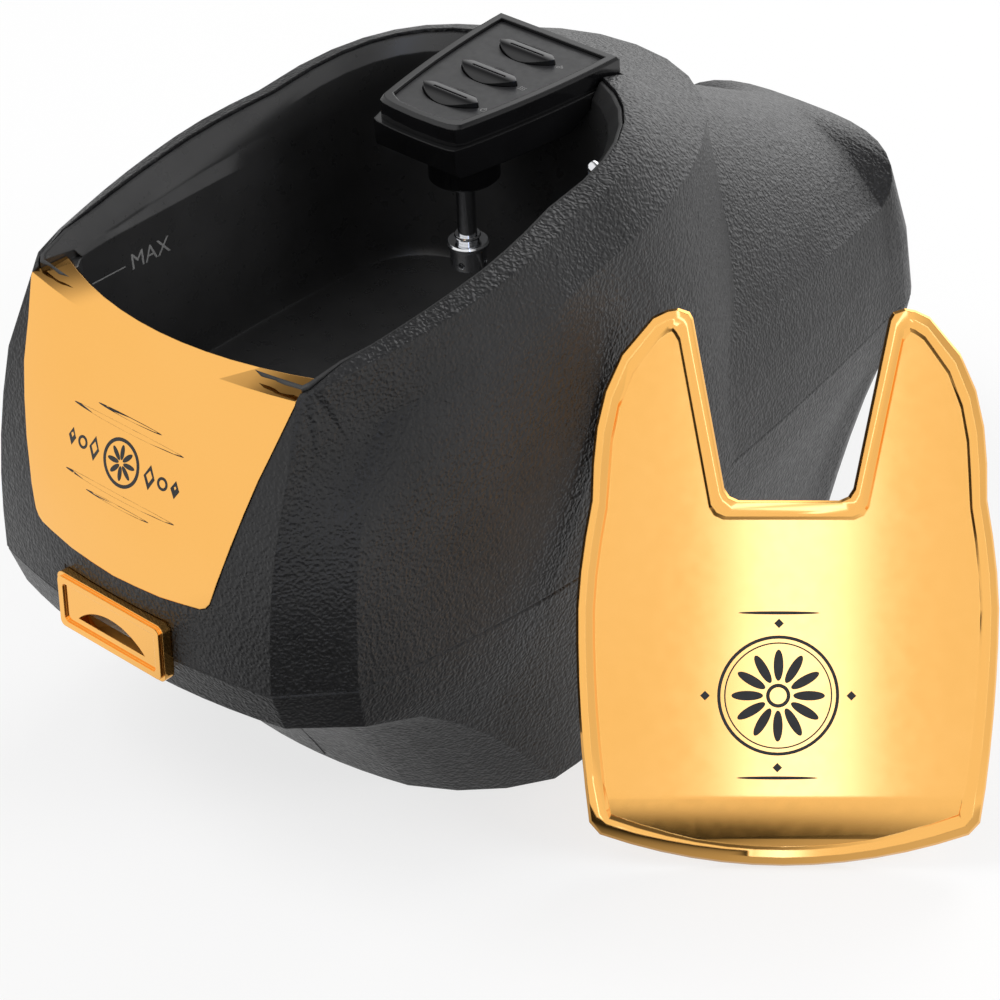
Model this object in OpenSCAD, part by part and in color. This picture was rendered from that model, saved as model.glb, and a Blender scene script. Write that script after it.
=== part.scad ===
// Hot lather machine for a barber's counter, with its lid taken off and stood beside it.
// Front is -Y, up is +Z, the origin is the middle of the base on the counter.

/* [Body outline] */
// Height of the line where the upper and lower shells meet
part_z = 61.5; // [50:0.5:75]
// Half width of the body at its widest
body_hw = 68.6; // [60:0.1:80]
// Y of the widest station
wide_y = -45; // [-60:1:-30]
// Front of the nose at the parting line
nose_y = -138.8; // [-150:0.1:-125]
// How far the nose falls back at its corners
nose_bow = 6; // [2:0.1:10]
// Half width of the nose face
nose_hw = 47.6; // [40:0.1:55]
// X of the rear edge of the corner facet
facet_x = 61; // [55:0.1:66]
// Y of the rear edge of the corner facet
facet_y = -117.3; // [-122:0.1:-105]
// Half width where the rear corner begins
tail_hw = 47.5; // [40:0.1:55]
// Y where the rear corner begins
tail_y0 = 113; // [100:1:120]
// Rear of the body at the parting line
tail_y = 141; // [130:1:150]
// Wall of the shells
wall = 2.6; // [2:0.1:3.5]

/* [Rim] */
// Height of the opening's edge where its fall to the front begins
rim_front_z = 141.3; // [130:0.1:150]
// Y where the rim's fall to the front begins
rim_y0 = -105; // [-110:1:-95]
// Rise of the rim per millimetre towards the back
rim_slope = 0.163; // [0.1:0.001:0.25]
// How fast the rim falls to the nose
rim_fall = 0.02; // [0:0.001:0.04]
// Front of the opening
mouth_front = -119.4; // [-125:0.1:-110]
// Rear of the opening
mouth_rear = 18; // [12:0.1:22]
// Half width of the opening
mouth_hw = 51; // [45:0.1:57]
// Width of the band round the opening
band_w = 5.2; // [4:0.1:8]
// Outward fall of the band round the opening
band_fall = 1.9; // [0:0.1:4]
// Height of the soft crease round the body at its widest station
crease_mid = 137.2; // [130:0.1:142]
// Rise of the crease per millimetre towards the back
crease_rise = 0.2; // [0.1:0.01:0.3]
// Bend of the crease
crease_bend = 0.0007; // [0:0.0001:0.002]

/* [Rear hood] */
// Height of the hood's side ridge
ridge_z = 93; // [85:0.5:100]
// Height of the hood's rear top edge
ridge_rear_z = 106.8; // [95:0.5:110]
// Inset of the ridge from the parting line
ridge_inset = 6; // [3:0.1:9]
// Lean of the rear face between the parting line and its top
tail_lean = 12; // [6:0.5:18]
// Height of the hood's crest where it leaves the body
crest_z = 142; // [135:0.5:152]
// Fall of the crest per millimetre towards the back
crest_slope = 0.45; // [0.4:0.01:0.7]

/* [Lower shell] */
// Height of the lip under the parting line
lip_h = 12.5; // [8:0.5:18]
// Half width of the foot
foot_hw = 66.2; // [55:0.1:68]
// Front of the foot
foot_front = -86; // [-100:1:-75]
// Rear of the foot
foot_rear = 105; // [90:1:120]
// Thickness of the floor
floor_t = 3; // [2:0.5:5]
// Diameter of a rubber foot
pad_d = 16; // [10:1:20]

/* [Tank] */
// Depth of the lid seat below the rim
seat_drop = 4.2; // [3:0.1:6]
// Width of the lid seat
seat_w = 2.2; // [1.5:0.1:4]
// Wall of the tank
tank_wall = 2; // [1.5:0.1:3]
// Height of the tank floor at y = 0
tank_floor_z = 98; // [92:0.1:110]
// Fall of the tank floor per millimetre towards the front
tank_floor_slope = 0.06; // [0:0.01:0.15]
// Front of the well
well_front = -118; // [-120:0.1:-110]
// Half width of the well
well_hw = 43; // [36:0.1:46]
// Height of the well's upper edge at its front
well_z = 135; // [128:0.1:140]
// Thickness of the gasket under the rim
gasket_t = 1; // [0.6:0.1:2]

/* [Console] */
// Y of the console's front tip
tip_y = -30.9; // [-45:0.1:-20]
// Height of the console's front tip
tip_z = 161; // [155:0.1:168]
// Half width of the tip
tip_hw = 13.1; // [10:0.1:18]
// Tilt of the console's top
con_tilt = 3.1; // [0:0.1:6]
// Depth of the console at its tip
con_h = 13.8; // [10:0.1:18]
// Length of the console
con_len = 53.6; // [48:0.1:56]
// Width of the raised border round the key plate
border_w = 2.4; // [1.5:0.1:4]

/* [Keys] */
// Length of a key
key_len = 18.6; // [14:0.1:20]
// Width of a key
key_w = 8.4; // [6:0.1:10]
// Distance between keys
key_pitch = 14.4; // [12:0.1:16]
// Distance from the tip to the first key
key_first = 12.4; // [9:0.1:15]
// How far a key stands proud of its plate
key_proud = 1.5; // [0.8:0.1:2.5]
// Travel of a key
key_travel = 0.8; // [0.4:0.1:1.2]
// Gap round a key
key_gap = 0.25; // [0.15:0.05:0.4]

/* [Mixer] */
// Distance of the mixer's axis behind the console's tip
mix_off = 16.2; // [14:0.1:20]
// Diameter of the collar under the console
collar_d = 18.5; // [16:0.1:22]
// Length of the collar
collar_len = 11.2; // [9:0.1:14]
// Length of shaft that shows between the collar and the bell
shaft_show = 16.8; // [12:0.1:20]
// Diameter of the mixer shaft
shaft_d = 5; // [4:0.1:6]
// Height of the bell
bell_h = 9.6; // [8:0.1:13]
// Diameter of the bell's flange
bell_d = 11.2; // [10:0.1:14]
// Running clearance on a shaft's radius
run_clear = 0.05; // [0.02:0.01:0.08]

/* [Pump] */
// Height of the pump's axes
pump_z = 71; // [68:0.5:72]
// Front of the pump housing
pump_front = -104; // [-110:0.5:-98]
// Length of the pump housing
pump_len = 18; // [14:0.5:24]
// Teeth on a pump gear
gear_teeth = 12; // [10:1:16]
// Pitch radius of a pump gear
gear_r = 8; // [7:0.1:9]
// Diameter of the pump motor
pump_motor_d = 28; // [24:0.5:30]
// Length of the pump motor
pump_motor_len = 40; // [30:1:50]
// Bore of the lather passages
pass_d = 8; // [6:0.5:10]

/* [Outlet] */
// Width of the outlet plate
outlet_w = 37.7; // [30:0.1:44]
// Height of the outlet plate
outlet_h = 16.3; // [12:0.1:20]
// Height of the middle of the outlet plate
outlet_z = 63.2; // [58:0.1:68]
// Thickness of the outlet plate
outlet_t = 3.7; // [2:0.1:5]
// Width of the half-moon mouth
moon_w = 24; // [18:0.1:28]
// Height of the half-moon mouth
moon_h = 5.2; // [4:0.1:8]

/* [Front panel] */
// Thickness of the front panel
panel_t = 1.6; // [1:0.1:2.5]
// Half width of the panel at its top
panel_top_hw = 45.2; // [40:0.1:46.5]
// Half width of the panel at its foot
panel_low_hw = 31.5; // [24:0.1:36]
// Height of the panel's lower edge
panel_low_z = 77; // [72:0.5:85]
// Gap between the panel and the shell
panel_gap = 0.2; // [0.1:0.05:0.4]

/* [Lid] */
// Thickness of the lid
lid_t = 2; // [1.5:0.1:3]
// How far the lid laps over the edge of the opening
lid_lap = 0.5; // [0.2:0.1:2]
// Gap between the lid's notch and the console
notch_gap = 1.2; // [0.8:0.1:2.5]
// Half width of the notch between the lid's horns
notch_hw = 24.4; // [21:0.1:28]
// Depth of the locating skirt under the lid
skirt_h = 3; // [2:0.1:5]
// Width of the bead along the lid's edge
bead_w = 4.6; // [3:0.1:6]
// Height of the bead along the lid's edge
bead_h = 1.3; // [0.6:0.1:2]

/* [Lid stood beside the body] */
// Where the lid's front edge stands
stand_at = [131, -39.8, 0];
// How far the stood lid leans back
stand_lean = 26; // [10:1:35]
// Which way the stood lid faces
stand_turn = 42; // [0:1:90]

/* [Fasteners and inlet] */
// Diameter of a shell screw
screw_d = 3; // [2.5:0.1:4]
// Diameter of a shell screw's head
head_d = 5.6; // [5:0.1:7]
// Width of the power inlet
inlet_w = 22; // [18:0.5:26]
// Height of the power inlet
inlet_h = 13; // [10:0.5:16]

/* [Hidden] */

// ---- numbers that follow from the sizes above ----
nose_n = 6;
facet_n = 3;
side_n = 9;
rear_n = 9;
lip_z = part_z - lip_h;
// console: height of its border, wall that it widens by below, key plate and switches
border_h = 5.6;
root_wide = 1.2;
root_y = con_len - 10;
root_h = 8.6;
plate_top = 0.9;
plate_t = 1.6;
key_flange = 0.7;
stem_h = 0.5;
switch_h = 1.6;
board_t = 1;
switch_top = plate_top + plate_t + key_flange + stem_h + key_travel + 0.2;
board_low = switch_top + switch_h + board_t;
shell_black = [0.13, 0.13, 0.135];
gloss_black = [0.05, 0.05, 0.055];
gold = [0.95, 0.68, 0.28];
chrome = [0.8, 0.8, 0.82];
steel = [0.55, 0.56, 0.58];

function lerp(a, b, t) = a + (b - a) * t;
// Height of the rim over a station
function rim_z(y) = rim_front_z + rim_slope * (y - rim_y0) - rim_fall * pow(max(0, rim_y0 - y), 2);
// Height of the crease over a station
function crease_z(y) = crease_mid + crease_rise * (y - wide_y) - crease_bend * pow(y - wide_y, 2);
// Fall of the band outside the rim: none at the nose, full along the sides
function band_drop(y) = band_fall * min(1, max(0, (y + 119) / 16));
// Height of the inner tank floor over a station
function floor_z(y) = tank_floor_z + tank_floor_slope * y;

// One half of a plan outline, from the front middle round the right to the rear middle.
// s = [front y, bow, nose half width, facet x, facet y, facet bulge, half width, widest y,
//      rear corner x, rear corner y, rear y, corner power]
function side_x(s, y) = y < s[7]
  ? s[6] - (s[6] - s[3]) * pow((s[7] - y) / (s[7] - s[4]), 2)
  : s[6] - (s[6] - s[8]) * pow((y - s[7]) / (s[9] - s[7]), 1.6);
function half_plan(s) = half_plan_n(s, side_n);
function half_plan_n(s, n) = let (cx = s[2], cy = s[0] + s[1]) concat(
  [for (i = [0:nose_n]) let (u = i / nose_n) [cx * u, s[0] + s[1] * u * u]],
  [for (i = [1:facet_n - 1]) let (u = i / facet_n, b = 4 * u * (1 - u) * s[5])
    [lerp(cx, s[3], u) + b * 0.7, lerp(cy, s[4], u) - b * 0.7]],
  [for (i = [0:n]) let (y = lerp(s[4], s[9], i / n)) [side_x(s, y), y]],
  [for (i = [1:rear_n]) let (a = 90 * i / rear_n)
    [i == rear_n ? 0 : s[8] * pow(cos(a), 2 / s[11]), s[9] + (s[10] - s[9]) * pow(sin(a), 2 / s[11])]]);
function whole(h) = concat(h, [for (i = [len(h) - 2:-1:1]) [-h[i][0], h[i][1]]]);
function plan(s) = whole(half_plan(s));
// The same outline drawn in by a wall
function inset(s, d) = [s[0] + d, s[1], s[2] - 0.55 * d, s[3] - d, s[4] + 0.8 * d, s[5],
  s[6] - d, s[7], s[8] - d, s[9], s[10] - d, s[11]];
function mix(a, b, t) = [for (i = [0:len(a) - 1]) lerp(a[i], b[i], t)];

// Outlines of the body from the parting line up to the opening
plan_part = [nose_y, nose_bow, nose_hw, facet_x, facet_y, 0, body_hw, wide_y,
  body_hw - 1, wide_y + 35, 66, 2.3];
plan_crease = [nose_y + 8, nose_bow - 1, nose_hw + 0.6, facet_x - 8.5, facet_y + 18.5, 0,
  body_hw - 6.5, wide_y, body_hw - 7.6, wide_y + 10, 54, 2.1];
plan_mouth = [mouth_front, 2.6, mouth_hw - 6, mouth_hw - 4.6, mouth_front + 4, 0, mouth_hw,
  wide_y - 17, mouth_hw - 3.5, wide_y + 11, mouth_rear, 2.6];
plan_band = [mouth_front - 2.6, 3.3, mouth_hw - 5.6, mouth_hw - 2.6, mouth_front + 5.5, 0,
  mouth_hw + band_w, wide_y - 12, mouth_hw + band_w - 3.2, wide_y + 11, mouth_rear + band_w, 2.5];
// Upper edge of the well, also the inner edge of the panel's lip
plan_well = [well_front, 8.6, well_hw - 3.5, well_hw - 0.4, well_front + 12.5, 0, well_hw, wide_y - 15,
  well_hw - 1, wide_y + 15, mouth_rear - 7, 3];

// Outline of the body at a share t of the way from the parting line to the crease
function body_plan(t) = [for (i = [0:11]) lerp(plan_part[i], plan_crease[i],
  pow(t, (i == 3 || i == 4) ? 4.5 : (i == 0 ? 2.4 : (i == 6 ? 1.6 : 1.2))))];
function body_ring(t, d, dz) = [for (p = plan(inset(body_plan(t), d)))
  [p[0], p[1], lerp(part_z, crease_z(p[1]), t) + dz]];
function rim_ring(s, d, dz) = [for (p = plan(inset(s, d))) [p[0], p[1], rim_z(p[1]) + dz]];
function band_ring(d, dz) = [for (p = plan(inset(plan_band, d))) [p[0], p[1], rim_z(p[1]) - band_drop(p[1]) + dz]];

// Skin between equal rings; each ring runs anticlockwise seen from above.
module loft(rings) {
  n = len(rings[0]);
  m = len(rings);
  all_points = [for (r = rings) for (p = r) p];
  low_mid = ring_mid(rings[0]);
  top_mid = ring_mid(rings[m - 1]);
  sides = [for (j = [0:m - 2]) for (i = [0:n - 1]) let (k = (i + 1) % n, a = j * n)
    for (f = [[a + i, a + n + i, a + n + k], [a + i, a + n + k, a + k]]) f];
  low = [for (i = [0:n - 1]) [m * n, i, (i + 1) % n]];
  top = [for (i = [0:n - 1]) [m * n + 1, (m - 1) * n + (i + 1) % n, (m - 1) * n + i]];
  polyhedron(concat(all_points, [low_mid, top_mid]), concat(sides, low, top));
}
function ring_mid(r) = let (h = len(r) / 2) (r[0] + r[h]) / 2;

// Closed band between rings that come back to the first one
module loop_loft(rings) {
  n = len(rings[0]);
  m = len(rings);
  sides = [for (j = [0:m - 1]) for (i = [0:n - 1]) let (k = (i + 1) % n, a = j * n, b = ((j + 1) % m) * n)
    for (f = [[a + i, b + i, b + k], [a + i, b + k, a + k]]) f];
  polyhedron([for (r = rings) for (p = r) p], sides);
}

module rod(d, h) {
  cylinder(d = d, h = h, $fn = 40);
}
module place_y(y, z) {
  translate([0, y, z]) rotate([-90, 0, 0]) children();
}

// ---- upper shell ----
module body_solid(d, drop) {
  steps = 5;
  loft(concat(
    [body_ring(0, d, drop > 0 ? -2 : 0)],
    [for (i = [1:steps]) body_ring(i / steps, d, -drop * i / steps)],
    [band_ring(d, -drop), rim_ring(plan_mouth, d > 0 ? d : -0.01, -drop)]));
}

// Hood: ribs run from the plan outline up over the ridge to the crest.
hood_plan = [-10, 0, 55, 61, -9, 0, body_hw, wide_y, tail_hw, tail_y0, tail_y, 2.6];
hood_side = 12;
hood_rear = 9;
hood_arch = 6;
hood_y0 = -6;
crest_y0 = 50;
crest_end = tail_y - tail_lean - 7;
function crest(y) = crest_z - crest_slope * max(0, y - crest_y0);
function hood_foot(i, d) = i <= hood_side
  ? let (y = lerp(hood_y0, tail_y0, i / hood_side)) [side_x(hood_plan, y) - d, y]
  : let (a = 90 * (i - hood_side) / hood_rear) [a == 90 ? 0 : (tail_hw - d) * pow(cos(a), 2 / 2.6),
      tail_y0 + (tail_y - tail_y0 - d) * pow(sin(a), 2 / 2.6)];
function hood_ridge(i, d) = let (f = hood_foot(i, d), q = i <= hood_side ? 0 : (i - hood_side) / hood_rear,
    x = i <= hood_side ? f[0] - ridge_inset * min(1, 0.55 + 0.45 * i / 6) : f[0] * (tail_hw - ridge_inset) / tail_hw,
    y = min(f[1], tail_y0) + max(0, f[1] - tail_y0) * (tail_y - tail_y0 - tail_lean) / (tail_y - tail_y0))
  [x, y, lerp(ridge_z, ridge_rear_z, sqrt(max(0, 1 - pow(q == 0 ? 1 : f[0] / (tail_hw - d), 4)))) - d * 0.7];
function hood_rib(i, d, dz) = let (f = hood_foot(i, d), r = hood_ridge(i, d),
    cy = i <= hood_side ? r[1] : lerp(tail_y0, crest_end, sin(90 * (i - hood_side) / hood_rear)),
    cz = crest(cy) - d)
  concat(
    [[f[0], f[1], part_z + dz], [lerp(f[0], r[0], 0.38) + (f[0] == 0 ? 0 : 0.5), lerp(f[1], r[1], 0.38), lerp(part_z, r[2], 0.5)], r],
    [for (j = [1:hood_arch - 1]) let (u = 1 - j / hood_arch)
      [r[0] * u, lerp(r[1], cy, 1 - u * u), lerp(r[2], cz, 1 - u * u)]],
    [[0, cy, cz]]);
module hood_solid(d, dz) {
  k = hood_side + hood_rear;
  m = hood_arch + 3;
  right = [for (i = [0:k - 1]) hood_rib(i, d, dz)];
  last = hood_rib(k, d, dz);
  flip = [for (i = [k - 1:-1:0]) [for (p = right[i]) [-p[0], p[1], p[2]]]];
  ribs = concat(right, [last], flip);
  n = len(ribs);
  points = [for (r = ribs) for (p = r) p];
  // Skin between the ribs, each quad as two triangles
  skin = [for (i = [0:n - 2]) for (j = [0:m - 2]) let (a = i * m + j, b = a + m)
    for (f = [[a, a + 1, b + 1], [a, b + 1, b]]) f];
  foot_mid = len(points);
  face_mid = foot_mid + 1;
  foot = [for (i = [0:n - 2]) [foot_mid, i * m, (i + 1) * m]];
  shut = [[foot_mid, (n - 1) * m, 0]];
  front = [for (j = [0:m - 2]) for (f = [[face_mid, j + 1, j], [face_mid, (n - 1) * m + j, (n - 1) * m + j + 1]]) f];
  sill = [[face_mid, 0, (n - 1) * m]];
  polyhedron(concat(points, [[0, tail_y0 / 2, part_z + dz], [0, hood_y0, ridge_z]]),
    concat(skin, foot, shut, front, sill));
}

// Slab that follows the nose and folds over the rim; e1 and e2 are its two offsets.
skin_t = [0.1, 0.3, 0.5, 0.7, 0.86, 1];
lip_edge = [well_front - 0.7, 10.2, mouth_hw - 6.8];
function nose_level(j) = j < len(skin_t) ? body_plan(skin_t[j]) : (j == len(skin_t) ? plan_band : lip_edge);
function nose_z(j, y) = j < len(skin_t) ? lerp(part_z, crease_z(y), skin_t[j])
  : (j == len(skin_t) ? rim_z(y) : well_z + 1);
function nose_mid(j) = let (s = nose_level(j)) [s[0], nose_z(j, s[0])];
function nose_normal(j, m) = let (a = nose_mid(max(0, j - 1)), b = nose_mid(min(m, j + 1)), l = norm(b - a))
  [-(b[1] - a[1]) / l, (b[0] - a[0]) / l];
function nose_row(j, e, over) = let (m = len(skin_t) + 1, s = nose_level(j), n = nose_normal(j, m))
  [for (i = [-nose_n:nose_n]) let (u = 0.995 * i / nose_n, y = s[0] + s[1] * u * u)
    [s[2] * u, y + n[0] * e + (j == m ? over : 0), nose_z(j, y) + n[1] * e]];
module nose_slab(e1, e2, over) {
  m = len(skin_t) + 2;
  sheet([for (j = [0:m - 1]) nose_row(j, e1, over)], [for (j = [0:m - 1]) nose_row(j, e2, over)]);
}
// Solid between an outer and an inner grid of points
module sheet(outer, inner) {
  m = len(outer);
  n = len(outer[0]);
  k = m * n;
  grid = [for (j = [0:m - 2]) for (i = [0:n - 2]) let (a = j * n + i)
    for (f = [[a, a + n, a + n + 1], [a, a + n + 1, a + 1]]) f];
  back = [for (f = grid) [f[2] + k, f[1] + k, f[0] + k]];
  edge = concat([for (i = [0:n - 2]) [i, i + 1]], [for (j = [0:m - 2]) [(j + 1) * n - 1, (j + 2) * n - 1]],
    [for (i = [0:n - 2]) [k - 1 - i, k - 2 - i]], [for (j = [m - 1:-1:1]) [j * n, (j - 1) * n]]);
  rim = [for (e = edge) for (f = [[e[0], e[1], e[1] + k], [e[0], e[1] + k, e[0] + k]]) f];
  polyhedron(concat([for (r = outer) for (p = r) p], [for (r = inner) for (p = r) p]), concat(grid, back, rim));
}
// Front view of the panel: wide at the top, drawn in to a rounded foot
function panel_x(u) = lerp(panel_low_hw, panel_top_hw, u) + 0.4 * sin(180 * u);
module panel_prism(grow) {
  r = 4.5;
  side = [for (i = [0:8]) let (u = i / 8) [panel_x(u) + grow, lerp(panel_low_z + r + 2, rim_front_z - 7, u)]];
  corner = [for (a = [75:-25:25]) [panel_low_hw - r + grow + r * cos(a) - 0.2, panel_low_z + r + 2 - grow - r * sin(a)]];
  low = [[0, panel_low_z - grow], [panel_low_hw * 0.5, panel_low_z + 0.7 - grow]];
  right = concat(low, corner, side, [[panel_top_hw + grow, rim_front_z + 10]]);
  translate([0, nose_y + 50, 0]) rotate([90, 0, 0]) linear_extrude(60)
    polygon(concat(right, [for (i = [len(right) - 1:-1:1]) [-right[i][0], right[i][1]]]));
}
module panel_recess() {
  intersection() {
    nose_slab(3, -panel_t - panel_gap, 3);
    panel_prism(panel_gap);
  }
}
module outlet_seat(grow) {
  translate([-outlet_w / 2 - grow, nose_y - 10, outlet_z - outlet_h / 2 - grow])
    cube([outlet_w + 2 * grow, 10 + outlet_in, outlet_h + 2 * grow]);
}
outlet_in = 1.3;
duct_w = moon_w + 3.2;
duct_h = moon_h + 3.2;
moon_z = outlet_z - 0.8;
module duct_window() {
  translate([-duct_w / 2 - 0.4, nose_y - 10, moon_z - duct_h / 2 - 0.4]) cube([duct_w + 0.8, 20, duct_h + 0.8]);
}
module mouth_prism(d) {
  translate([0, 0, part_z]) linear_extrude(140) polygon(plan(inset(plan_mouth, d)));
}

// Screw stations of the two shells
screw_at = [[50, -50], [-50, -50], [42, 66], [-42, 66]];
seat_h = 50;
boss_top = 14;
module upper_bosses() {
  for (p = screw_at) {
    out = side_x(hood_plan, max(p[1], wide_y)) - wall;
    translate([p[0], p[1], part_z]) rod(8, boss_top);
    translate([p[0] > 0 ? p[0] : -out - 1, p[1] - 1, part_z]) cube([out + 1 - abs(p[0]), 2, boss_top]);
  }
}
inlet_lean = atan((tail_lean * 0.38) / ((ridge_rear_z - part_z) / 2));
inlet_z = part_z + 10.5;
module inlet_frame() {
  translate([0, tail_y - (inlet_z - part_z) * tan(inlet_lean), inlet_z]) rotate([inlet_lean, 0, 0]) children();
}
module block(w, l, h) {
  translate([-w / 2, 0, -h / 2]) cube([w, l, h]);
}

// Room for the root of the console in the crown and the tank
module root_slot(gap) {
  con_frame() intersection() {
    translate([0, 0, -con_h - 6]) linear_extrude(40) con_plan(root_wide + 0.1, con_len + 0.1);
    translate([-40, 0, 0]) rotate([90, 0, 90]) linear_extrude(80)
      polygon([[root_y - 30, -con_h - gap], [root_y - 9, -con_h - gap], [root_y, -root_h - gap],
        [con_len + 2, -root_h - gap + 0.7], [con_len + 2, 20], [root_y - 30, 20]]);
  }
}

module upper_shell() {
  color(shell_black)
  difference() {
    union() {
      difference() {
        union() {
          body_solid(0, 0);
          hood_solid(0, 0);
        }
        body_solid(wall, seat_drop - gasket_t);
        hood_solid(wall, -2);
      }
      upper_bosses();
    }
    mouth_prism(0);
    // Slot for the root of the console
    root_slot(0.02);
    panel_recess();
    outlet_seat(0.2);
    duct_window();
    for (p = screw_at) translate([p[0], p[1], part_z - 1]) rod(screw_d + 0.1, boss_top - 1);
    inlet_frame() {
      translate([0, -8, 0]) block(inlet_w + 0.6, 20, inlet_h + 0.6);
      translate([0, -0.9, 0]) block(inlet_w + 5.4, 20, inlet_h + 5.4);
    }
  }
}

// ---- lower shell ----
plan_low = [nose_y, nose_bow, nose_hw, facet_x, facet_y, 0, body_hw, wide_y, tail_hw, tail_y0, tail_y, 2.6];
plan_lip = [nose_y + 4.3, nose_bow + 0.3, nose_hw - 0.8, facet_x - 0.6, facet_y + 2.5, 0, body_hw - 0.5,
  wide_y, tail_hw, tail_y0 - 5, tail_y - 4, 2.6];
plan_foot = [foot_front, 6.5, 40, foot_hw, wide_y - 7, 3.5, foot_hw + 0.1, wide_y, foot_hw - 18, foot_rear - 31,
  foot_rear, 2.6];
function under(z) = z >= lip_z ? 0 : pow((lip_z - max(0, z)) / lip_z, 0.6);
function low_plan(z) = z >= lip_z ? mix(plan_lip, plan_low, (z - lip_z) / lip_h) : mix(plan_lip, plan_foot, under(z));
function low_ring(z, d) = [for (p = whole(half_plan_n(inset(low_plan(z), d), 15))) [p[0], p[1], z]];
// Height of the underside at a station on the middle line
function under_z(y) = lip_z * (1 - pow(min(1, (y - plan_lip[0]) / (foot_front - plan_lip[0])), 1 / 0.6));
low_z = [8, 16, 26, 36, 43];

module low_solid(d, z0, z1) {
  loft(concat([low_ring(z0, d)], [for (z = low_z) low_ring(z + d, d)], [low_ring(lip_z + d / 2, d)],
    [low_ring(part_z - 0.9, d)],
    [[for (p = whole(half_plan_n(inset(plan_low, d > 0 ? d : 0.7), 15))) [p[0], p[1], z1]]]));
}
pads_at = [[50, -34], [-50, -34], [36, 80], [-36, 80]];
pad_t = 1.6;
post_x = 15;
module pump_rib() {
  y0 = pump_front - 4;
  y1 = pump_front + pump_len;
  top = pump_z - pump_low;
  rotate([90, 0, 90]) linear_extrude(3)
    polygon(concat([for (i = [0:6]) let (y = lerp(y0, y1, i / 6)) [y, under_z(y) + 1.4]], [[y1, top], [y0, top]]));
}
board_w = 76;
board_l = 62;
board_y = 0;
board_z = 13;
board_at = [for (x = [-1, 1]) for (y = [0, 1]) [x * (board_w / 2 - 4), board_y + 4 + y * (board_l - 8)]];
module base_shell() {
  color(shell_black)
  difference() {
    union() {
      difference() {
        low_solid(0, 0, part_z);
        low_solid(wall, floor_t, part_z + 2);
      }
      for (p = screw_at) translate([p[0], p[1], floor_t - 1]) rod(9.4, part_z - floor_t + 1);
      for (p = board_at) translate([p[0], p[1], floor_t - 1]) rod(7, board_z - floor_t + 1);
      for (x = [-post_x - 1.5, post_x - 1.5]) translate([x, 0, 0]) pump_rib();
    }
    for (p = screw_at) translate([p[0], p[1], -1]) {
      rod(head_d + 1, seat_h + 1);
      rod(screw_d + 0.3, part_z + 2);
    }
    for (p = board_at) translate([p[0], p[1], floor_t]) rod(2.5, board_z);
    for (p = pads_at) translate([p[0], p[1], -1]) rod(pad_d, pad_t + 1);
    outlet_seat(0.2);
    duct_window();
    // Air slots under the board
    for (i = [-4:4]) translate([i * 7 - 1.5, board_y + 12, -1]) cube([3, 36, floor_t + 2]);
  }
}
module foot_pads() {
  color([0.2, 0.2, 0.2])
  for (p = pads_at) translate([p[0], p[1], 0]) rod(pad_d - 0.1, pad_t);
}
module screw(d, len, head, head_h) {
  rod(d, len);
  difference() {
    translate([0, 0, -head_h]) rod(head, head_h);
    translate([0, 0, -head_h - 0.1]) for (a = [0, 90]) rotate([0, 0, a]) translate([-head * 0.32, -0.45, 0])
      cube([head * 0.64, 0.9, head_h * 0.6]);
  }
}
module shell_screws() {
  color(steel)
  for (p = screw_at) translate([p[0], p[1], seat_h]) screw(screw_d, 20, head_d, 2.4);
}

// ---- front panel and outlet ----
module front_panel() {
  color(gold)
  intersection() {
    nose_slab(0.15, -panel_t, -0.05);
    panel_prism(0);
  }
}
module round_rect(w, h, r) {
  square([w - 2 * r, h], center = true);
  square([w, h - 2 * r], center = true);
  for (x = [-1, 1]) for (y = [-1, 1]) translate([x * (w / 2 - r), y * (h / 2 - r)]) circle(r, $fn = 24);
}
// Half moon with its flat edge down, its middle at the origin
module moon(w, h) {
  r = (w * w / 4 + h * h) / (2 * h);
  intersection() {
    translate([0, h / 2 - r]) circle(r, $fn = 96);
    translate([-w, -h / 2]) square([2 * w, h * 2]);
  }
}
module outlet_bezel() {
  color(gold)
  translate([0, nose_y + outlet_in, outlet_z]) rotate([90, 0, 0]) difference() {
    union() {
      linear_extrude(outlet_t - 0.8) round_rect(outlet_w, outlet_h, 2);
      linear_extrude(outlet_t) round_rect(outlet_w - 1.6, outlet_h - 1.6, 1.6);
    }
    translate([0, moon_z - outlet_z, -1]) linear_extrude(outlet_t + 2) moon(moon_w, moon_h);
    // Dished face round the mouth
    translate([0, 0, outlet_t - 0.7]) linear_extrude(2) round_rect(outlet_w - 5, outlet_h - 5, 1.2);
  }
}
module outlet_duct() {
  front = nose_y + outlet_in + 0.1;
  back = pump_front - cover_t;
  color([0.85, 0.85, 0.83])
  difference() {
    hull() {
      translate([0, front, moon_z]) block(duct_w, 2, duct_h);
      place_y(back - 2, port_z) cylinder(d = pass_d + 3.4, h = 2, $fn = 32);
    }
    hull() {
      translate([0, front - 0.1, moon_z]) block(moon_w, 1, moon_h);
      place_y(back - 1, port_z) cylinder(d = pass_d, h = 1.1, $fn = 32);
    }
  }
}

// ---- tank ----
function well_ring(d, dz) = [for (p = plan(inset(plan_well, d))) [p[0], p[1], well_z + 0.05 * (p[1] - well_front) + dz]];
function pan_ring(d, dz) = [for (p = plan(inset(plan_well, d))) [p[0], p[1], floor_z(p[1]) + dz]];
// 0 behind the nose, 1 along the sides and the back
function side_share(y) = min(1, max(0, (y - mouth_front - 6) / 14));
function raised(ring, up) = [for (p = ring) [p[0], p[1], p[2] + up * (1 - side_share(p[1]))]];
// Line round the opening that falls with the band
function under_ring(d, dz) = [for (p = rim_ring(plan_mouth, d, dz)) [p[0], p[1], p[2] - band_drop(p[1])]];
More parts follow.
